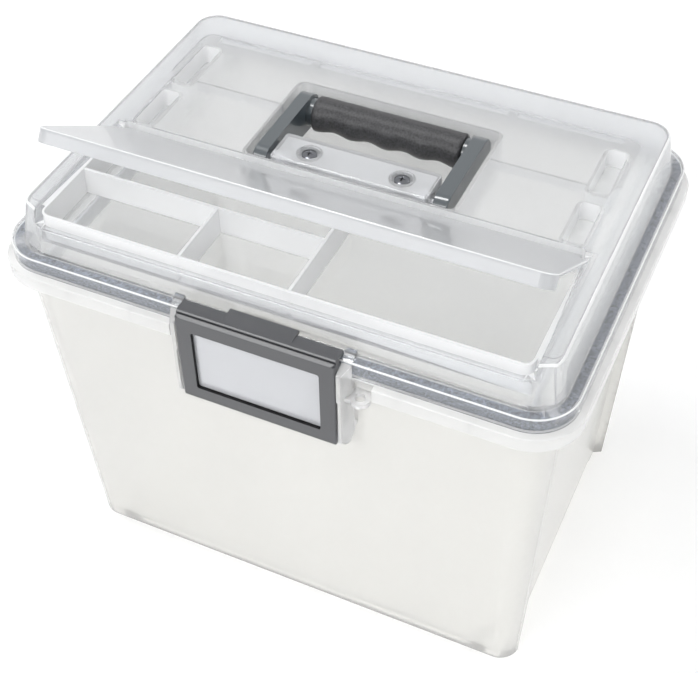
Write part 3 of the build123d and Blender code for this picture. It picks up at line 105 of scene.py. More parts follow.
room = bpy.data.worlds.new("studio_room")
scene.world = room
room.use_nodes = True
tree = room.node_tree
tree.nodes.clear()
path = node(tree, "ShaderNodeLightPath")
backdrop = node(tree, "ShaderNodeBackground", {"Color": WHITE, "Strength": 1.0})
fill = node(tree, "ShaderNodeBackground", {"Color": ROOM_TINT, "Strength": ROOM_FILL})
choose = node(tree, "ShaderNodeMixShader")
room_out = node(tree, "ShaderNodeOutputWorld")
seen = largest(tree, *(path.outputs[ray] for ray in SEEN_RAYS))
tree.links.new(seen, choose.inputs["Fac"])
tree.links.new(fill.outputs[0], choose.inputs[1])
tree.links.new(backdrop.outputs[0], choose.inputs[2])
tree.links.new(choose.outputs[0], room_out.inputs["Surface"])


def light_panel(name, size, power, at, towards):
    """A soft rectangular lamp."""
    data = bpy.data.lights.new(name, "AREA")
    data.shape = "RECTANGLE"
    data.size, data.size_y = size
    data.energy = power
    lamp = bpy.data.objects.new(name, data)
    aim = Vector(towards) - Vector(at)
    lamp.matrix_world = Matrix.Translation(at) @ aim.to_track_quat("-Z", "Y").to_matrix().to_4x4()
    scene.collection.objects.link(lamp)


light_panel("overhead_panel", size=(0.4, 0.3), power=5.5,
            at=(-0.45, 0.05, 1.7), towards=(0, 0, 0.15))
light_panel("rear_panel", size=(0.5, 0.9), power=4.0, at=(0.75, 1.6, 1.6), towards=(0, 0, 0.2))
light_panel("front_panel", size=(1.1, 0.45), power=11.0,
            at=(-0.45, -1.5, 1.3), towards=(0, 0, 0.15))
light_panel("right_panel", size=(0.6, 0.9), power=5.0, at=(1.7, -0.5, 0.9), towards=(0, 0, 0.15))

floor_mesh = bpy.data.meshes.new("studio_floor")
corners = [(-FLOOR_HALF, -FLOOR_HALF, 0), (FLOOR_HALF, -FLOOR_HALF, 0),
           (FLOOR_HALF, FLOOR_HALF, 0), (-FLOOR_HALF, FLOOR_HALF, 0)]
floor_mesh.from_pydata(corners, [], [(0, 1, 2, 3)])
studio_floor = bpy.data.objects.new("studio_floor", floor_mesh)
scene.collection.objects.link(studio_floor)
floor_paint = bpy.data.materials.new("studio_floor_paint")
floor_paint.use_nodes = True
tree = floor_paint.node_tree
shader = tree.nodes["Principled BSDF"]
shader.inputs["Roughness"].default_value = 0.9
shader.inputs["Specular IOR Level"].default_value = 0.0
path = node(tree, "ShaderNodeLightPath")
shade = node(tree, "ShaderNodeMix", {"A": FLOOR_PAINT, "B": WHITE}, data_type="RGBA")
seen = largest(tree, *(path.outputs[ray] for ray in SEEN_RAYS))
tree.links.new(seen, shade.inputs["Factor"])
tree.links.new(shade.outputs["Result"], shader.inputs["Base Color"])
shader.inputs["Emission Color"].default_value = WHITE
place = node(tree, "ShaderNodeTexCoord")
away = node(tree, "ShaderNodeVectorMath", operation="LENGTH")
fade = node(tree, "ShaderNodeMapRange", {"From Min": GLOW_FROM, "From Max": GLOW_TO,
                                         "To Min": NEAR_GLOW, "To Max": FAR_GLOW})
lift = node(tree, "ShaderNodeMath", operation="MULTIPLY")
tree.links.new(place.outputs["Object"], away.inputs[0])
tree.links.new(away.outputs["Value"], fade.inputs["Value"])
tree.links.new(fade.outputs[0], lift.inputs[1])
tree.links.new(seen, lift.inputs[0])
tree.links.new(lift.outputs[0], shader.inputs["Emission Strength"])
floor_mesh.materials.append(floor_paint)

# ---------------------------------------------------------------- tub
# The tub is one thin-walled moulding of frosted polypropylene, with corner columns, feet
# and a turned-down rim. Its walls let light through but blur what is behind them.
TUB_TINT = (0.972, 0.968, 0.95, 1)
TUB_CLEARNESS = 0.64
TUB_ROUGHNESS = 0.24
RIM_TINT = (0.96, 0.96, 0.955, 1)
CHEEK_TINT = (0.94, 0.942, 0.945, 1)
RIM_LOW = 257.0
CHEEK_FRONT = -130.5
CHEEK_FROM, CHEEK_TO = 45.0, 75.0
PLASTIC_IOR = 1.49
MERGE_DISTANCE = 0.005 * MM
CREASE = radians(28)
DARKEST_SHARE = 0.1


def moulded_surface():
    """Node group for moulded plastic: a slight cloudiness of colour and of polish, and a
    fine grain."""
    group = bpy.data.node_groups.new("moulded_surface", "ShaderNodeTree")
    sockets = group.interface
    for label, kind in (("Tint", "NodeSocketColor"), ("Cloudiness", "NodeSocketFloat"),
                        ("Cloud Scale", "NodeSocketFloat"), ("Polish", "NodeSocketFloat"),
                        ("Polish Spread", "NodeSocketFloat"), ("Grain Scale", "NodeSocketFloat")):
        sockets.new_socket(label, in_out="INPUT", socket_type=kind)
    for label, kind in (("Colour", "NodeSocketColor"), ("Roughness", "NodeSocketFloat"),
                        ("Height", "NodeSocketFloat")):
        sockets.new_socket(label, in_out="OUTPUT", socket_type=kind)
    given = node(group, "NodeGroupInput")
    result = node(group, "NodeGroupOutput")
    place = node(group, "ShaderNodeTexCoord")
    cloud = node(group, "ShaderNodeTexNoise", {"Detail": 3.0, "Roughness": 0.55})
    grain = node(group, "ShaderNodeTexNoise", {"Detail": 2.0, "Roughness": 0.6})
    group.links.new(place.outputs["Object"], cloud.inputs["Vector"])
    group.links.new(place.outputs["Object"], grain.inputs["Vector"])
    group.links.new(given.outputs["Cloud Scale"], cloud.inputs["Scale"])
    group.links.new(given.outputs["Grain Scale"], grain.inputs["Scale"])
    centred = node(group, "ShaderNodeMath", {1: 0.5}, operation="SUBTRACT")
    group.links.new(cloud.outputs["Fac"], centred.inputs[0])
    darker = node(group, "ShaderNodeMath", {2: 1.0}, operation="MULTIPLY_ADD")
    group.links.new(centred.outputs[0], darker.inputs[0])
    group.links.new(given.outputs["Cloudiness"], darker.inputs[1])
    kept = node(group, "ShaderNodeMath", {1: DARKEST_SHARE}, operation="MAXIMUM")
    shaded = node(group, "ShaderNodeVectorMath", operation="SCALE")
    group.links.new(given.outputs["Tint"], shaded.inputs[0])
    group.links.new(darker.outputs[0], kept.inputs[0])
    group.links.new(kept.outputs[0], shaded.inputs["Scale"])
    rougher = node(group, "ShaderNodeMath", operation="MULTIPLY_ADD", use_clamp=True)
    group.links.new(centred.outputs[0], rougher.inputs[0])
    group.links.new(given.outputs["Polish Spread"], rougher.inputs[1])
    group.links.new(given.outputs["Polish"], rougher.inputs[2])
    group.links.new(shaded.outputs[0], result.inputs["Colour"])
    group.links.new(rougher.outputs[0], result.inputs["Roughness"])
    group.links.new(grain.outputs["Fac"], result.inputs["Height"])
    return group


SURFACE = moulded_surface()


def moulded_finish(name, tint, roughness, cloudiness=0.06, cloud_scale=22.0, spread=0.12,
                   grain_scale=2600.0, grain_depth=0.02 * MM, edge=0.5 * MM, **sockets):
    """A material on the moulded surface group, with softened edges; sockets sets the
    shader's own values."""
    finish = bpy.data.materials.new(name)
    finish.use_nodes = True
    tree = finish.node_tree
    shader = tree.nodes["Principled BSDF"]
    surface = node(tree, "ShaderNodeGroup", node_tree=SURFACE, name="surface")
    for label, value in (("Tint", tint), ("Cloudiness", cloudiness), ("Cloud Scale", cloud_scale),
                         ("Polish", roughness), ("Polish Spread", spread),
                         ("Grain Scale", grain_scale)):
        surface.inputs[label].default_value = value
    rounded = node(tree, "ShaderNodeBevel", {"Radius": edge}, samples=4)
    bump = node(tree, "ShaderNodeBump", {"Strength": 1.0, "Distance": grain_depth})
    tree.links.new(surface.outputs["Colour"], shader.inputs["Base Color"])
    tree.links.new(surface.outputs["Roughness"], shader.inputs["Roughness"])
    tree.links.new(surface.outputs["Height"], bump.inputs["Height"])
    tree.links.new(rounded.outputs["Normal"], bump.inputs["Normal"])
    tree.links.new(bump.outputs["Normal"], shader.inputs["Normal"])
    for label, value in sockets.items():
        shader.inputs[label.replace("_", " ")].default_value = value
    return finish


def let_lamps_through(finish, share, tint=WHITE):
    """The finish passes this share of a lamp's light straight on to what is behind it."""
    tree = finish.node_tree
    shader = tree.nodes["Principled BSDF"]
    output = tree.nodes["Material Output"]
    path = node(tree, "ShaderNodeLightPath")
    passed = node(tree, "ShaderNodeMath", {1: share}, operation="MULTIPLY")
    clear = node(tree, "ShaderNodeBsdfTransparent", {"Color": tint})
    mix = node(tree, "ShaderNodeMixShader")
    tree.links.new(path.outputs["Is Shadow Ray"], passed.inputs[0])
    tree.links.new(passed.outputs[0], mix.inputs["Fac"])
    tree.links.new(shader.outputs[0], mix.inputs[1])
    tree.links.new(clear.outputs[0], mix.inputs[2])
    tree.links.new(mix.outputs[0], output.inputs["Surface"])
    return finish


def joined(mesh):
    """A bmesh of the mesh with its loose triangles joined at their corners."""
    bm = bmesh.new()
    bm.from_mesh(mesh)
    bmesh.ops.remove_doubles(bm, verts=bm.verts, dist=MERGE_DISTANCE)
    bmesh.ops.dissolve_degenerate(bm, dist=MERGE_DISTANCE, edges=bm.edges)
    return bm


def with_groove(mesh, low, high):
    """The mesh with a box-shaped groove between two corners, in millimetres, cut out."""
    bm = joined(mesh)
    bm.to_mesh(mesh)
    bm.free()
    bm = bmesh.new()
    bmesh.ops.create_cube(bm, size=1.0)
    for vert in bm.verts:
        vert.co = Vector([MM * (a + (c + 0.5) * (b - a)) for a, b, c in zip(low, high, vert.co)])
    cutter_mesh = bpy.data.meshes.new("groove_cutter")
    bm.to_mesh(cutter_mesh)
    bm.free()
    cutter = bpy.data.objects.new("groove_cutter", cutter_mesh)
    whole = bpy.data.objects.new("groove_whole", mesh)
    scene.collection.objects.link(cutter)
    scene.collection.objects.link(whole)
    cut = whole.modifiers.new("groove", "BOOLEAN")
    cut.operation = "DIFFERENCE"
    cut.solver = "EXACT"
    cut.object = cutter
    evaluated = whole.evaluated_get(bpy.context.evaluated_depsgraph_get())
    grooved = bpy.data.meshes.new_from_object(evaluated)
    bpy.data.objects.remove(cutter)
    bpy.data.objects.remove(whole)
    return grooved


def moulding(cad_name, name, body, finishes, choose=None, groove=None):
    """A piece on a solid's own surface, with its rounds shaded smooth. choose picks one of
    the finishes for each face, from its centre in millimetres and its normal. groove is a
    pair of corners to cut away between."""
    mesh = nodes[cad_name].data.copy()
    mesh.materials.clear()
    if groove:
        mesh = with_groove(mesh, *groove)
        mesh.materials.clear()
    for finish in finishes:
        mesh.materials.append(finish)
    bm = joined(mesh)
    for face in bm.faces:
        face.smooth = True
        centre = face.calc_center_median() / MM
        face.material_index = choose(centre, face.normal) if choose else 0
    for edge in bm.edges:
        edge.smooth = len(edge.link_faces) == 2 and edge.calc_face_angle(0.0) < CREASE
    bm.to_mesh(mesh)
    bm.free()
    rough = bpy.data.objects.new(name + "_rough", mesh)
    scene.collection.objects.link(rough)
    weighted = rough.modifiers.new("weighted", "WEIGHTED_NORMAL")
    weighted.keep_sharp = True
    piece = plain_piece(name, rough)
    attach(piece, body)
    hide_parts(cad_name)
    return piece


def plain_piece(name, source):
    """A plain mesh object from an object's evaluated mesh; the source goes."""
    evaluated = source.evaluated_get(bpy.context.evaluated_depsgraph_get())
    mesh = bpy.data.meshes.new_from_object(evaluated)
    mesh.name = name
    bpy.data.objects.remove(source)
    piece = bpy.data.objects.new(name, mesh)
    scene.collection.objects.link(piece)
    return piece


tub_plastic = moulded_finish(
    "frosted_polypropylene", TUB_TINT, TUB_ROUGHNESS, cloudiness=0.05, cloud_scale=9.0,
    spread=0.04, grain_depth=0.015 * MM, Transmission_Weight=TUB_CLEARNESS, IOR=PLASTIC_IOR,
    Coat_Weight=0.25, Coat_Roughness=0.12)
let_lamps_through(tub_plastic, 0.85, TUB_TINT)
rim_plastic = moulded_finish(
    "milky_rim_polypropylene", RIM_TINT, 0.2, cloudiness=0.04, spread=0.04,
    grain_depth=0.008 * MM, Transmission_Weight=0.5, IOR=PLASTIC_IOR, Coat_Weight=0.4,
    Coat_Roughness=0.05)
let_lamps_through(rim_plastic, 0.7)
cheek_plastic = moulded_finish(
    "clear_cheek_polypropylene", CHEEK_TINT, 0.14, cloudiness=0.04, spread=0.04,
    grain_depth=0.008 * MM, Transmission_Weight=0.68, IOR=PLASTIC_IOR, Coat_Weight=0.4,
    Coat_Roughness=0.05)
let_lamps_through(cheek_plastic, 0.75)


def tub_finish(centre, normal):
    """Milky for the rim, clearer for the latch's cheeks and the seal eye, frosted for the
    walls."""
    if centre.y < CHEEK_FRONT and CHEEK_FROM < abs(centre.x) < CHEEK_TO:
        return 2
    return 1 if centre.z > RIM_LOW or centre.y < CHEEK_FRONT else 0


moulding("tub", "tub_moulding", "tub", [tub_plastic, rim_plastic, cheek_plastic], tub_finish)

# ---------------------------------------------------------------- file rails
# Two extruded strips with a rolled top edge, dropped into the slotted seats inside the
# front and back walls. Hanging files slide along them.
RAIL_TINT = (0.93, 0.94, 0.95, 1)
rail_plastic = moulded_finish("rail_polypropylene", RAIL_TINT, 0.3, Transmission_Weight=0.3,
                              IOR=PLASTIC_IOR)
let_lamps_through(rail_plastic, 0.5)
moulding("file_rail_left", "left_rail", "tub", [rail_plastic])
moulding("file_rail_right", "right_rail", "tub", [rail_plastic])

# ---------------------------------------------------------------- lid
# One clear moulding: a flange that holds the seal, a raised middle with the organiser
# tray, the handle's recess and side pockets. Polished floors are clearer than the walls.
LID_TINT = (0.89, 0.90, 0.915, 1)
EDGE_AND_WALL_LIGHT_TINT = (0.98, 0.985, 0.99, 1)
FIELD_TINT = (0.8, 0.805, 0.81, 1)
FLANGE_TOP = 280.0
LID_TOP = 306.0
RISER_HALF_LENGTH, RISER_HALF_WIDTH = 177.0, 126.0
GUIDE_FRONT = -128.0
TRAY_HALF_LENGTH = 160.0
TRAY_FRONT, TRAY_REAR = -120.0, -16.0
POCKETS_FROM, POCKETS_TO, POCKETS_REAR = 133.0, 155.0, 97.0
WELL_FLOOR = LID_TOP - 19.0
FIELD_LOW, FIELD_HIGH = LID_TOP - 1.0, LID_TOP - 0.4
EDGE_SLOPE = (0.3, 0.96)
LEVEL_SLOPE = 0.9
TRAY_TOP = LID_TOP - 0.1
FLANGE_HIGH = FLANGE_TOP + 1.0
GUIDE_LOW = FLANGE_TOP + 0.3
CLEAR_ROUGHNESS = 0.04
MILKY_ROUGHNESS = 0.2

clear_plastic = moulded_finish(
    "polished_polypropylene", LID_TINT, CLEAR_ROUGHNESS, cloudiness=0.03, spread=0.05,
    grain_depth=0.004 * MM, Transmission_Weight=0.93, IOR=PLASTIC_IOR)
let_lamps_through(clear_plastic, 0.9)
milky_plastic = moulded_finish(
    "satin_polypropylene", LID_TINT, MILKY_ROUGHNESS, cloudiness=0.04, spread=0.08,
    grain_depth=0.01 * MM, Transmission_Weight=0.74, IOR=PLASTIC_IOR, Coat_Weight=0.4,
    Coat_Roughness=0.06)
let_lamps_through(milky_plastic, 0.7)


def lid_finish(centre, normal):
    """The number of a face's finish: clear flange and well floors, satin raised middle, a whiter
    finish on rounded edges (painted highlight) and on the walls of the wells (lifted out of
    shade by painted light), frosted rear field."""
    x, y, z = abs(centre.x), centre.y, centre.z
    on_flange = z < FLANGE_HIGH and (x > RISER_HALF_LENGTH or abs(y) > RISER_HALF_WIDTH)
    on_floor = z < WELL_FLOOR and x < TRAY_HALF_LENGTH
    in_tray = x < TRAY_HALF_LENGTH and TRAY_FRONT < y < TRAY_REAR and z < TRAY_TOP
    in_pocket = POCKETS_FROM < x < POCKETS_TO and TRAY_REAR < y < POCKETS_REAR
    pocket_wall = in_pocket and abs(normal.z) < LEVEL_SLOPE and z < FIELD_LOW
    on_edge = EDGE_SLOPE[0] < abs(normal.z) < EDGE_SLOPE[1]
    if z > GUIDE_LOW and y < GUIDE_FRONT:
        return 0
    if normal.z > LEVEL_SLOPE and FIELD_LOW < z < FIELD_HIGH:
        return 3
    if on_edge or in_tray and not on_floor or pocket_wall:
        return 2
    return 0 if on_flange or on_floor else 1


frosted_field = moulded_finish(
    "frosted_field", FIELD_TINT, 0.24, cloudiness=0.03, spread=0.02,
    grain_depth=0.02 * MM, Transmission_Weight=0.72, IOR=PLASTIC_IOR)
let_lamps_through(frosted_field, 0.75)
# This whiter, more opaque finish is painted light. On rounded edges it stands in for their
# highlights. On the walls of the wells it lifts shade, over the walls' own milky white.
edge_and_wall_light_plastic = moulded_finish(
    "painted_light_edge_polypropylene", EDGE_AND_WALL_LIGHT_TINT, 0.2, cloudiness=0.02, spread=0.04,
    grain_depth=0.004 * MM, Transmission_Weight=0.2, IOR=PLASTIC_IOR, Coat_Weight=0.6,
    Coat_Roughness=0.05)
let_lamps_through(edge_and_wall_light_plastic, 0.85)
moulding("lid_shell", "lid_moulding", "lid",
         [clear_plastic, milky_plastic, edge_and_wall_light_plastic, frosted_field], lid_finish)

# ---------------------------------------------------------------- seal
# A soft strip of speckled grey-blue foam rubber that fills the flange's channel all the
# way round and presses on the bead of the tub's rim.
SEAL_LOW, SEAL_HIGH = (corner[2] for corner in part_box("lid_seal"))
SEAL_HALF_LENGTH, SEAL_HALF_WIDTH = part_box("lid_seal")[1][:2]
SEAL_WIDTH = 5.4 * MM
SEAL_RADIUS = 26.2 * MM
SEAL_EDGE = 0.6 * MM
LIP_GAP_HALF = 0.5 * MM
LIP_DEPTH = 1.2 * MM
SEAL_CORNER_STEPS = 14
FOAM_TINT = (0.14, 0.157, 0.188, 1)


def seal_section():
    """The strip's section, with two lips on its underside, as a closed line of points."""
    half, rise = SEAL_WIDTH / 2, (SEAL_HIGH - SEAL_LOW) / 2
    right_side = [(LIP_GAP_HALF, LIP_DEPTH - rise), (LIP_GAP_HALF, -rise + SEAL_EDGE / 2),
                  (LIP_GAP_HALF + SEAL_EDGE / 2, -rise), (half - SEAL_EDGE, -rise),
                  (half, SEAL_EDGE - rise), (half, rise - SEAL_EDGE), (half - SEAL_EDGE, rise)]
    points = right_side + [(-x, z) for x, z in reversed(right_side)]
    mesh = bpy.data.meshes.new("seal_section")
    ends = [(i, (i + 1) % len(points)) for i in range(len(points))]
    mesh.from_pydata([(x, -z, 0.0) for x, z in reversed(points)], ends, [])
    return bpy.data.objects.new("seal_section", mesh)


def swept_strip():
    """Geometry nodes that sweep a section round a rounded rectangle."""
    tree = bpy.data.node_groups.new("swept_strip", "GeometryNodeTree")
    for label in ("Length", "Width", "Corner", "Level"):
        tree.interface.new_socket(label, in_out="INPUT", socket_type="NodeSocketFloat")
    tree.interface.new_socket("Section", in_out="INPUT", socket_type="NodeSocketObject")
    tree.interface.new_socket("Finish", in_out="INPUT", socket_type="NodeSocketMaterial")
    tree.interface.new_socket("Strip", in_out="OUTPUT", socket_type="NodeSocketGeometry")
    given = node(tree, "NodeGroupInput")
    result = node(tree, "NodeGroupOutput")
    route = node(tree, "GeometryNodeCurvePrimitiveQuadrilateral")
    bends = node(tree, "GeometryNodeFilletCurve", {"Count": SEAL_CORNER_STEPS}, mode="POLY")
    upright = node(tree, "GeometryNodeSetCurveNormal", mode="Z_UP")
    section = node(tree, "GeometryNodeObjectInfo")
    outline = node(tree, "GeometryNodeMeshToCurve")
    sweep = node(tree, "GeometryNodeCurveToMesh")
    lift = node(tree, "ShaderNodeCombineXYZ")
    move = node(tree, "GeometryNodeTransform")
    smooth = node(tree, "GeometryNodeSetShadeSmooth")
    real = node(tree, "GeometryNodeRealizeInstances")
    paint = node(tree, "GeometryNodeSetMaterial")
    for output, target in (("Length", route.inputs["Width"]), ("Width", route.inputs["Height"]),
                           ("Corner", bends.inputs["Radius"]),
                           ("Section", section.inputs["Object"]),
                           ("Level", lift.inputs["Z"]),
                           ("Finish", paint.inputs["Material"])):
        tree.links.new(given.outputs[output], target)
    for source, target in ((route.outputs[0], bends.inputs["Curve"]),
                           (bends.outputs[0], upright.inputs["Curve"]),
                           (section.outputs["Geometry"], outline.inputs["Mesh"]),
                           (upright.outputs[0], sweep.inputs["Curve"]),
                           (outline.outputs[0], sweep.inputs["Profile Curve"]),
                           (sweep.outputs[0], move.inputs["Geometry"]),
                           (lift.outputs[0], move.inputs["Translation"]),
                           (move.outputs[0], smooth.inputs["Geometry"]),
                           (smooth.outputs[0], real.inputs["Geometry"]),
                           (real.outputs[0], paint.inputs["Geometry"]),
                           (paint.outputs[0], result.inputs["Strip"])):
        tree.links.new(source, target)
    return tree


def grown(name, tree, values):
    """A plain mesh object made by a geometry node tree with these named inputs."""
    seed = bpy.data.objects.new(name + "_seed", bpy.data.meshes.new(name + "_seed"))
    scene.collection.objects.link(seed)
    modifier = seed.modifiers.new(name, "NODES")
    modifier.node_group = tree
    for item in tree.interface.items_tree:
        if item.in_out == "INPUT" and item.name in values:
            modifier[item.identifier] = values[item.name]
    return plain_piece(name, seed)


foam = moulded_finish("grey_seal_foam", FOAM_TINT, 0.75, cloudiness=4.5, cloud_scale=600.0,
                      spread=0.2, grain_scale=1500.0, grain_depth=0.12 * MM)
section_line = seal_section()
scene.collection.objects.link(section_line)
seal = grown("seal_strip", swept_strip(), {
    "Length": 2 * SEAL_HALF_LENGTH - SEAL_WIDTH, "Width": 2 * SEAL_HALF_WIDTH - SEAL_WIDTH,
    "Corner": SEAL_RADIUS - SEAL_WIDTH / 2, "Section": section_line,
    "Level": (SEAL_LOW + SEAL_HIGH) / 2, "Finish": foam})
bpy.data.objects.remove(section_line)
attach(seal, "lid")
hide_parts("lid_seal")

# ---------------------------------------------------------------- tray flap
# A milky lid over the organiser tray with a deep front lip. Two pins on its ears turn in
# the tray's end walls.
FLAP_TINT = (0.69, 0.70, 0.715, 1)
FLAP_OPEN = radians(34)

flap_plastic = moulded_finish(
    "milky_polypropylene", FLAP_TINT, 0.34, cloudiness=0.03, spread=0.03,
    grain_depth=0.01 * MM, Transmission_Weight=0.44, IOR=PLASTIC_IOR, Coat_Weight=0.5,
    Coat_Roughness=0.05)
let_lamps_through(flap_plastic, 0.8)
flap_up = Vector((0, sin(FLAP_OPEN), cos(FLAP_OPEN)))


def flap_finish(centre, normal):
    """Whiter for the rounded edges, a painted highlight; milky for the rest."""
    return 1 if EDGE_SLOPE[0] < abs(normal.dot(flap_up)) < EDGE_SLOPE[1] else 0


moulding("tray_flap", "flap_moulding", "flap", [flap_plastic, edge_and_wall_light_plastic], flap_finish)

# ---------------------------------------------------------------- handle arms
# Two slate-grey moulded arms with a fine satin grain. They turn on steel pins in the
# bracket and clamp the ends of the core bar.
ARM_TINT = (0.055, 0.07, 0.08, 1)
arm_plastic = moulded_finish("slate_plastic", ARM_TINT, 0.3, cloudiness=0.08,
                             grain_depth=0.03 * MM, grain_scale=3200.0, Coat_Weight=1.0,
                             Coat_Roughness=0.06)
moulding("handle_arm_left", "left_arm", "handle", [arm_plastic])
moulding("handle_arm_right", "right_arm", "handle", [arm_plastic])

# ---------------------------------------------------------------- handle grip
# A sleeve of soft dark rubber with four finger waves, pushed over a plated steel bar that
# joins the two arms. Both are made here.
RUBBER_TINT = (0.05, 0.05, 0.053, 1)
STEEL_TINT = (0.72, 0.73, 0.75, 1)
GRIP_LOW, GRIP_HIGH = (Vector(corner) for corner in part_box("handle_grip"))
GRIP_RADIUS = (GRIP_HIGH.z - GRIP_LOW.z) / 2
GRIP_BORE = 5.06 * MM
END_ROUND = 2.0 * MM
GROOVE_PITCH = 25.0 * MM
GROOVE_DEPTH = 2.0 * MM
GROOVE_FACING = radians(225)
GROOVE_SPREAD = radians(95)
ROUND_STEPS = 6
SLEEVE_STEPS = 96
SLEEVE_SEGMENTS = 72

rubber = moulded_finish("grip_rubber", RUBBER_TINT, 0.4, cloudiness=2.4, cloud_scale=700.0,
                        spread=0.5, grain_scale=900.0, grain_depth=0.2 * MM, edge=1.0 * MM,
                        Specular_IOR_Level=0.4)


def sleeve_radius(x, angle, base):
    """The sleeve's radius, waved along its length and most deeply at the front below."""
    turned = abs((angle - GROOVE_FACING + pi) % (2 * pi) - pi)
    wave = (1 - cos(2 * pi * x / GROOVE_PITCH)) / 2
    return base - GROOVE_DEPTH * wave * exp(-(turned / GROOVE_SPREAD) ** 2)


def sleeve_mesh():
    """A tube with rounded ends and finger waves, bored for the core bar."""
    half = (GRIP_HIGH.x - GRIP_LOW.x) / 2
    ends = []
    for step in range(ROUND_STEPS + 1):
        a = pi / 2 * step / ROUND_STEPS
        ends.append((-half + END_ROUND * (1 - sin(a)), GRIP_RADIUS - END_ROUND * (1 - cos(a))))
    stations = list(reversed(ends))
    straight = 2 * (half - END_ROUND)
    stations += [(-half + END_ROUND + straight * k / SLEEVE_STEPS, GRIP_RADIUS)
                 for k in range(1, SLEEVE_STEPS)]
    stations += [(-x, radius) for x, radius in ends]
    middle_y, middle_z = (GRIP_LOW.y + GRIP_HIGH.y) / 2, (GRIP_LOW.z + GRIP_HIGH.z) / 2
    bm = bmesh.new()
    rows = []
    for x, base in [(-half, None)] + sorted(stations) + [(half, None)]:
        row = []
        for k in range(SLEEVE_SEGMENTS):
            a = 2 * pi * k / SLEEVE_SEGMENTS
            radius = sleeve_radius(x, a, base) if base else GRIP_BORE
            row.append(bm.verts.new((x, middle_y + radius * cos(a), middle_z + radius * sin(a))))
        rows.append(row)
    for inner, outer in zip(rows, rows[1:] + rows[:1]):
        for k in range(SLEEVE_SEGMENTS):
            after = (k + 1) % SLEEVE_SEGMENTS
            bm.faces.new((inner[k], outer[k], outer[after], inner[after]))
    bmesh.ops.recalc_face_normals(bm, faces=bm.faces)
    for face in bm.faces:
        face.smooth = True
    for edge in bm.edges:
        edge.smooth = edge.calc_face_angle(0.0) < CREASE
    mesh = bpy.data.meshes.new("grip_sleeve")
    bm.to_mesh(mesh)
    bm.free()
    mesh.materials.append(rubber)
    return mesh


sleeve = bpy.data.objects.new("grip_sleeve", sleeve_mesh())
scene.collection.objects.link(sleeve)
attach(sleeve, "handle")
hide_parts("handle_grip")
steel = moulded_finish("plated_steel", STEEL_TINT, 0.22, cloudiness=0.1, cloud_scale=200.0,
                       Metallic=1.0)
moulding("handle_core_bar", "core_bar", "handle", [steel])

# ---------------------------------------------------------------- handle bracket
# A milky hollow moulding that is screwed to the floor of the recess and holds the
# handle's two pins down.
BRACKET_TINT = (0.86, 0.87, 0.885, 1)
bracket_plastic = moulded_finish(
    "clear_bracket_polypropylene", BRACKET_TINT, 0.14, cloudiness=0.03, spread=0.04,
    grain_depth=0.01 * MM, Transmission_Weight=0.72, IOR=PLASTIC_IOR, Coat_Weight=0.5,
    Coat_Roughness=0.04)
let_lamps_through(bracket_plastic, 0.7)
moulding("handle_bracket", "bracket_moulding", "lid", [bracket_plastic])
moulding("handle_pin_left", "left_handle_pin", "lid", [steel])
moulding("handle_pin_right", "right_handle_pin", "lid", [steel])

# ---------------------------------------------------------------- bracket screws
# Two plated pan-head screws with a cross recess sit in counterbores of the bracket and
# run down into the lid's bosses.
screw_low = Vector(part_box("bracket_screws")[0])
screw_high = Vector(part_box("bracket_screws")[1])
HEAD_TINT = (0.17, 0.175, 0.19, 1)
RECESS_PAINTED_SHADE = (0.004, 0.004, 0.005, 1)
HEAD_RADIUS = 5.0 * MM
HEAD_HEIGHT = 2.4 * MM
DOME = 1.0 * MM
RECESS_ARM = 2.4 * MM
RECESS_HALF_WIDTH = 0.55 * MM
RECESS_DEPTH = 1.5 * MM
RECESS_FLOOR = 0.1 * MM
RECESS_SLOPE = 0.3 * MM
RECESS_TAPER = 0.5
SHANK_RADIUS = 1.8 * MM
TIP_LENGTH = 1.5 * MM
HEAD_RINGS = 30
HEAD_STEPS = 72


def screw_top(x, y):
    """Height of the head's upper face, domed and sunk by the cross recess."""
    reach = hypot(x, y)
    height = -DOME * (reach / HEAD_RADIUS) ** 2
    inside = max(min(RECESS_ARM - abs(x), RECESS_HALF_WIDTH - abs(y)),
                 min(RECESS_ARM - abs(y), RECESS_HALF_WIDTH - abs(x)))
    slope = min(max(inside / RECESS_SLOPE, 0.0), 1.0)
    return height - RECESS_DEPTH * slope * (1 - RECESS_TAPER * reach / RECESS_ARM)


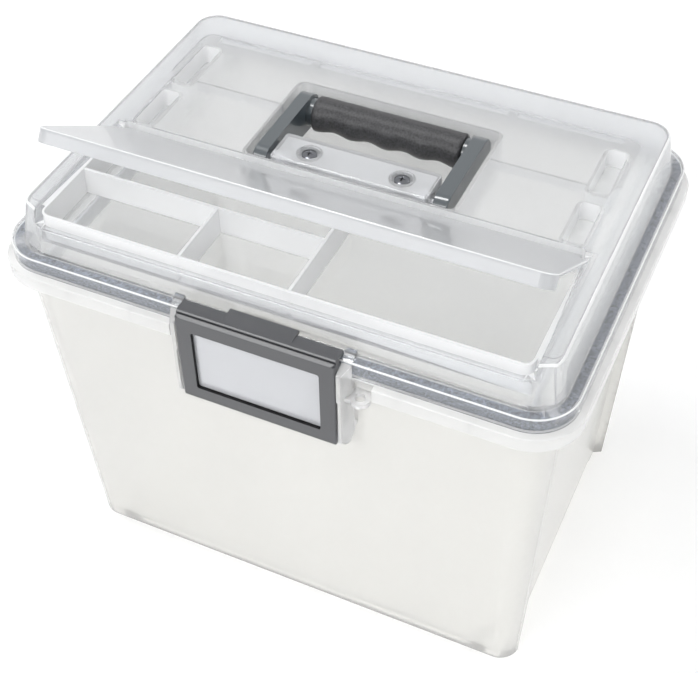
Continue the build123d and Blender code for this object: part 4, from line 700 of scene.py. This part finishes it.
def screw_mesh(length):
    """One screw with the middle of its head's top at the origin. Its recess attribute is 1
    inside the cross, where the finish paints shade."""
    bm = bmesh.new()
    recess = bm.verts.layers.float.new("recess")
    rows = []
    for ring in range(1, HEAD_RINGS + 1):
        reach = HEAD_RADIUS * ring / HEAD_RINGS
        row = []
        for step in range(HEAD_STEPS):
            a = 2 * pi * step / HEAD_STEPS
            x, y = reach * cos(a), reach * sin(a)
            vert = bm.verts.new((x, y, screw_top(x, y)))
            vert[recess] = 1.0 if vert.co.z < -DOME - RECESS_FLOOR else 0.0
            row.append(vert)
        rows.append(row)
    for reach, z in ((HEAD_RADIUS, -HEAD_HEIGHT), (SHANK_RADIUS, -HEAD_HEIGHT),
                     (SHANK_RADIUS, TIP_LENGTH - length)):
        rows.append([bm.verts.new((reach * cos(2 * pi * k / HEAD_STEPS),
                                   reach * sin(2 * pi * k / HEAD_STEPS), z))
                     for k in range(HEAD_STEPS)])
    for inner, outer in zip(rows, rows[1:]):
        for k in range(HEAD_STEPS):
            after = (k + 1) % HEAD_STEPS
            bm.faces.new((inner[k], outer[k], outer[after], inner[after]))
    middle = bm.verts.new((0, 0, screw_top(0, 0)))
    middle[recess] = 1.0
    tip = bm.verts.new((0, 0, -length))
    for k in range(HEAD_STEPS):
        after = (k + 1) % HEAD_STEPS
        bm.faces.new((middle, rows[0][k], rows[0][after]))
        bm.faces.new((tip, rows[-1][after], rows[-1][k]))
    bmesh.ops.recalc_face_normals(bm, faces=bm.faces)
    for face in bm.faces:
        face.smooth = True
    for edge in bm.edges:
        edge.smooth = edge.calc_face_angle(0.0) < CREASE
    mesh = bpy.data.meshes.new("screw_pattern")
    bm.to_mesh(mesh)
    bm.free()
    return mesh


def row_of_copies():
    """Geometry nodes that set copies of a pattern object in a row."""
    tree = bpy.data.node_groups.new("row_of_copies", "GeometryNodeTree")
    for label, kind in (("Pattern", "NodeSocketObject"), ("Count", "NodeSocketInt"),
                        ("First", "NodeSocketVector"), ("Spacing", "NodeSocketVector"),
                        ("Finish", "NodeSocketMaterial")):
        tree.interface.new_socket(label, in_out="INPUT", socket_type=kind)
    tree.interface.new_socket("Row", in_out="OUTPUT", socket_type="NodeSocketGeometry")
    given = node(tree, "NodeGroupInput")
    result = node(tree, "NodeGroupOutput")
    line = node(tree, "GeometryNodeMeshLine")
    pattern = node(tree, "GeometryNodeObjectInfo")
    copies = node(tree, "GeometryNodeInstanceOnPoints")
    real = node(tree, "GeometryNodeRealizeInstances")
    paint = node(tree, "GeometryNodeSetMaterial")
    for output, target in (("Pattern", pattern.inputs["Object"]), ("Count", line.inputs["Count"]),
                           ("First", line.inputs["Start Location"]),
                           ("Spacing", line.inputs["Offset"]),
                           ("Finish", paint.inputs["Material"])):
        tree.links.new(given.outputs[output], target)
    for source, target in ((line.outputs[0], copies.inputs["Points"]),
                           (pattern.outputs["Geometry"], copies.inputs["Instance"]),
                           (copies.outputs[0], real.inputs["Geometry"]),
                           (real.outputs[0], paint.inputs["Geometry"]),
                           (paint.outputs[0], result.inputs["Row"])):
        tree.links.new(source, target)
    return tree


dark_chrome = moulded_finish("dark_plated_steel", HEAD_TINT, 0.14, cloudiness=0.2,
                             cloud_scale=260.0, spread=0.1, Metallic=1.0)
# Inside the cross the tint runs to near black: painted shade in the recess.
tree = dark_chrome.node_tree
recess_shade_mask = node(tree, "ShaderNodeAttribute", attribute_name="recess")
shade = node(tree, "ShaderNodeMix", data_type="RGBA")
shade.inputs["A"].default_value = HEAD_TINT
shade.inputs["B"].default_value = RECESS_PAINTED_SHADE
tree.links.new(recess_shade_mask.outputs["Fac"], shade.inputs["Factor"])
tree.links.new(shade.outputs["Result"], tree.nodes["surface"].inputs["Tint"])
pattern = bpy.data.objects.new("screw_pattern", screw_mesh(screw_high.z - screw_low.z))
scene.collection.objects.link(pattern)
first_x = screw_low.x + HEAD_RADIUS
last_x = screw_high.x - HEAD_RADIUS
screws = grown("cross_head_screws", row_of_copies(), {
    "Pattern": pattern, "Count": 2, "Spacing": (last_x - first_x, 0, 0),
    "First": (first_x, (screw_low.y + screw_high.y) / 2, screw_high.z), "Finish": dark_chrome})
bpy.data.objects.remove(pattern)
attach(screws, "lid")
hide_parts("bracket_screws")

# ---------------------------------------------------------------- latch
# A dark grey frame with a fine grain that hooks over the flange. It holds a label card
# between a clear window and a back plate, and turns on a steel pin in the tub's cheeks.
LATCH_TINT = (0.08, 0.082, 0.088, 1)
REVEAL_PAINTED_SHADE = (0.012, 0.012, 0.013, 1)
SHEET_TINT = (0.94, 0.945, 0.95, 1)
CARD_TINT = (0.6, 0.605, 0.625, 1)
REVEAL_HALF_LENGTH = 42.3
REVEAL_LOW, REVEAL_HIGH = 223.6, 271.4
FRONT_FACING = -0.5
LATCH_GROOVE = ((-60.0, -142.3, 281.5), (60.0, -141.4, 290.0))

latch_plastic = moulded_finish("dark_grained_plastic", LATCH_TINT, 0.34,
                               cloudiness=0.15, cloud_scale=60.0, grain_scale=2400.0,
                               grain_depth=0.05 * MM, Coat_Weight=0.4, Coat_Roughness=0.16)
# The reveal finish is painted shade: near black on the inner faces of the window's opening, where
# shadow falls.
reveal_shade_plastic = moulded_finish("painted_shade_reveal_plastic", REVEAL_PAINTED_SHADE, 0.6,
                                Specular_IOR_Level=0.2)


def latch_finish(centre, normal):
    """Painted shade, a near-black finish, for the faces round the window's opening; grained for
    the rest.
    """
    inside = abs(centre.x) < REVEAL_HALF_LENGTH and REVEAL_LOW < centre.z < REVEAL_HIGH
    return 1 if inside and normal.y > FRONT_FACING else 0


moulding("latch_frame", "latch_moulding", "latch", [latch_plastic, reveal_shade_plastic],
         latch_finish, LATCH_GROOVE)
moulding("latch_back", "label_back_plate", "latch", [latch_plastic])
moulding("latch_pin", "latch_pivot", "tub", [steel])
window_sheet = moulded_finish("clear_sheet", SHEET_TINT, 0.04, cloudiness=0.0, spread=0.02,
                              grain_depth=0.001 * MM, edge=0.2 * MM,
                              Transmission_Weight=1.0, IOR=1.45)
let_lamps_through(window_sheet, 0.93)
moulding("latch_window", "label_window", "latch", [window_sheet])
card_stock = moulded_finish("card_stock", CARD_TINT, 0.7, cloudiness=0.03,
                            cloud_scale=160.0, grain_scale=1800.0, grain_depth=0.01 * MM)
moulding("label_card", "blank_label_card", "latch", [card_stock])

# ---------------------------------------------------------------- lid hinges
# Two plated pins join the lid's knuckles to the ears on the back of the tub's rim.
moulding("hinge_pin_left", "left_hinge_pin", "tub", [steel])
moulding("hinge_pin_right", "right_hinge_pin", "tub", [steel])
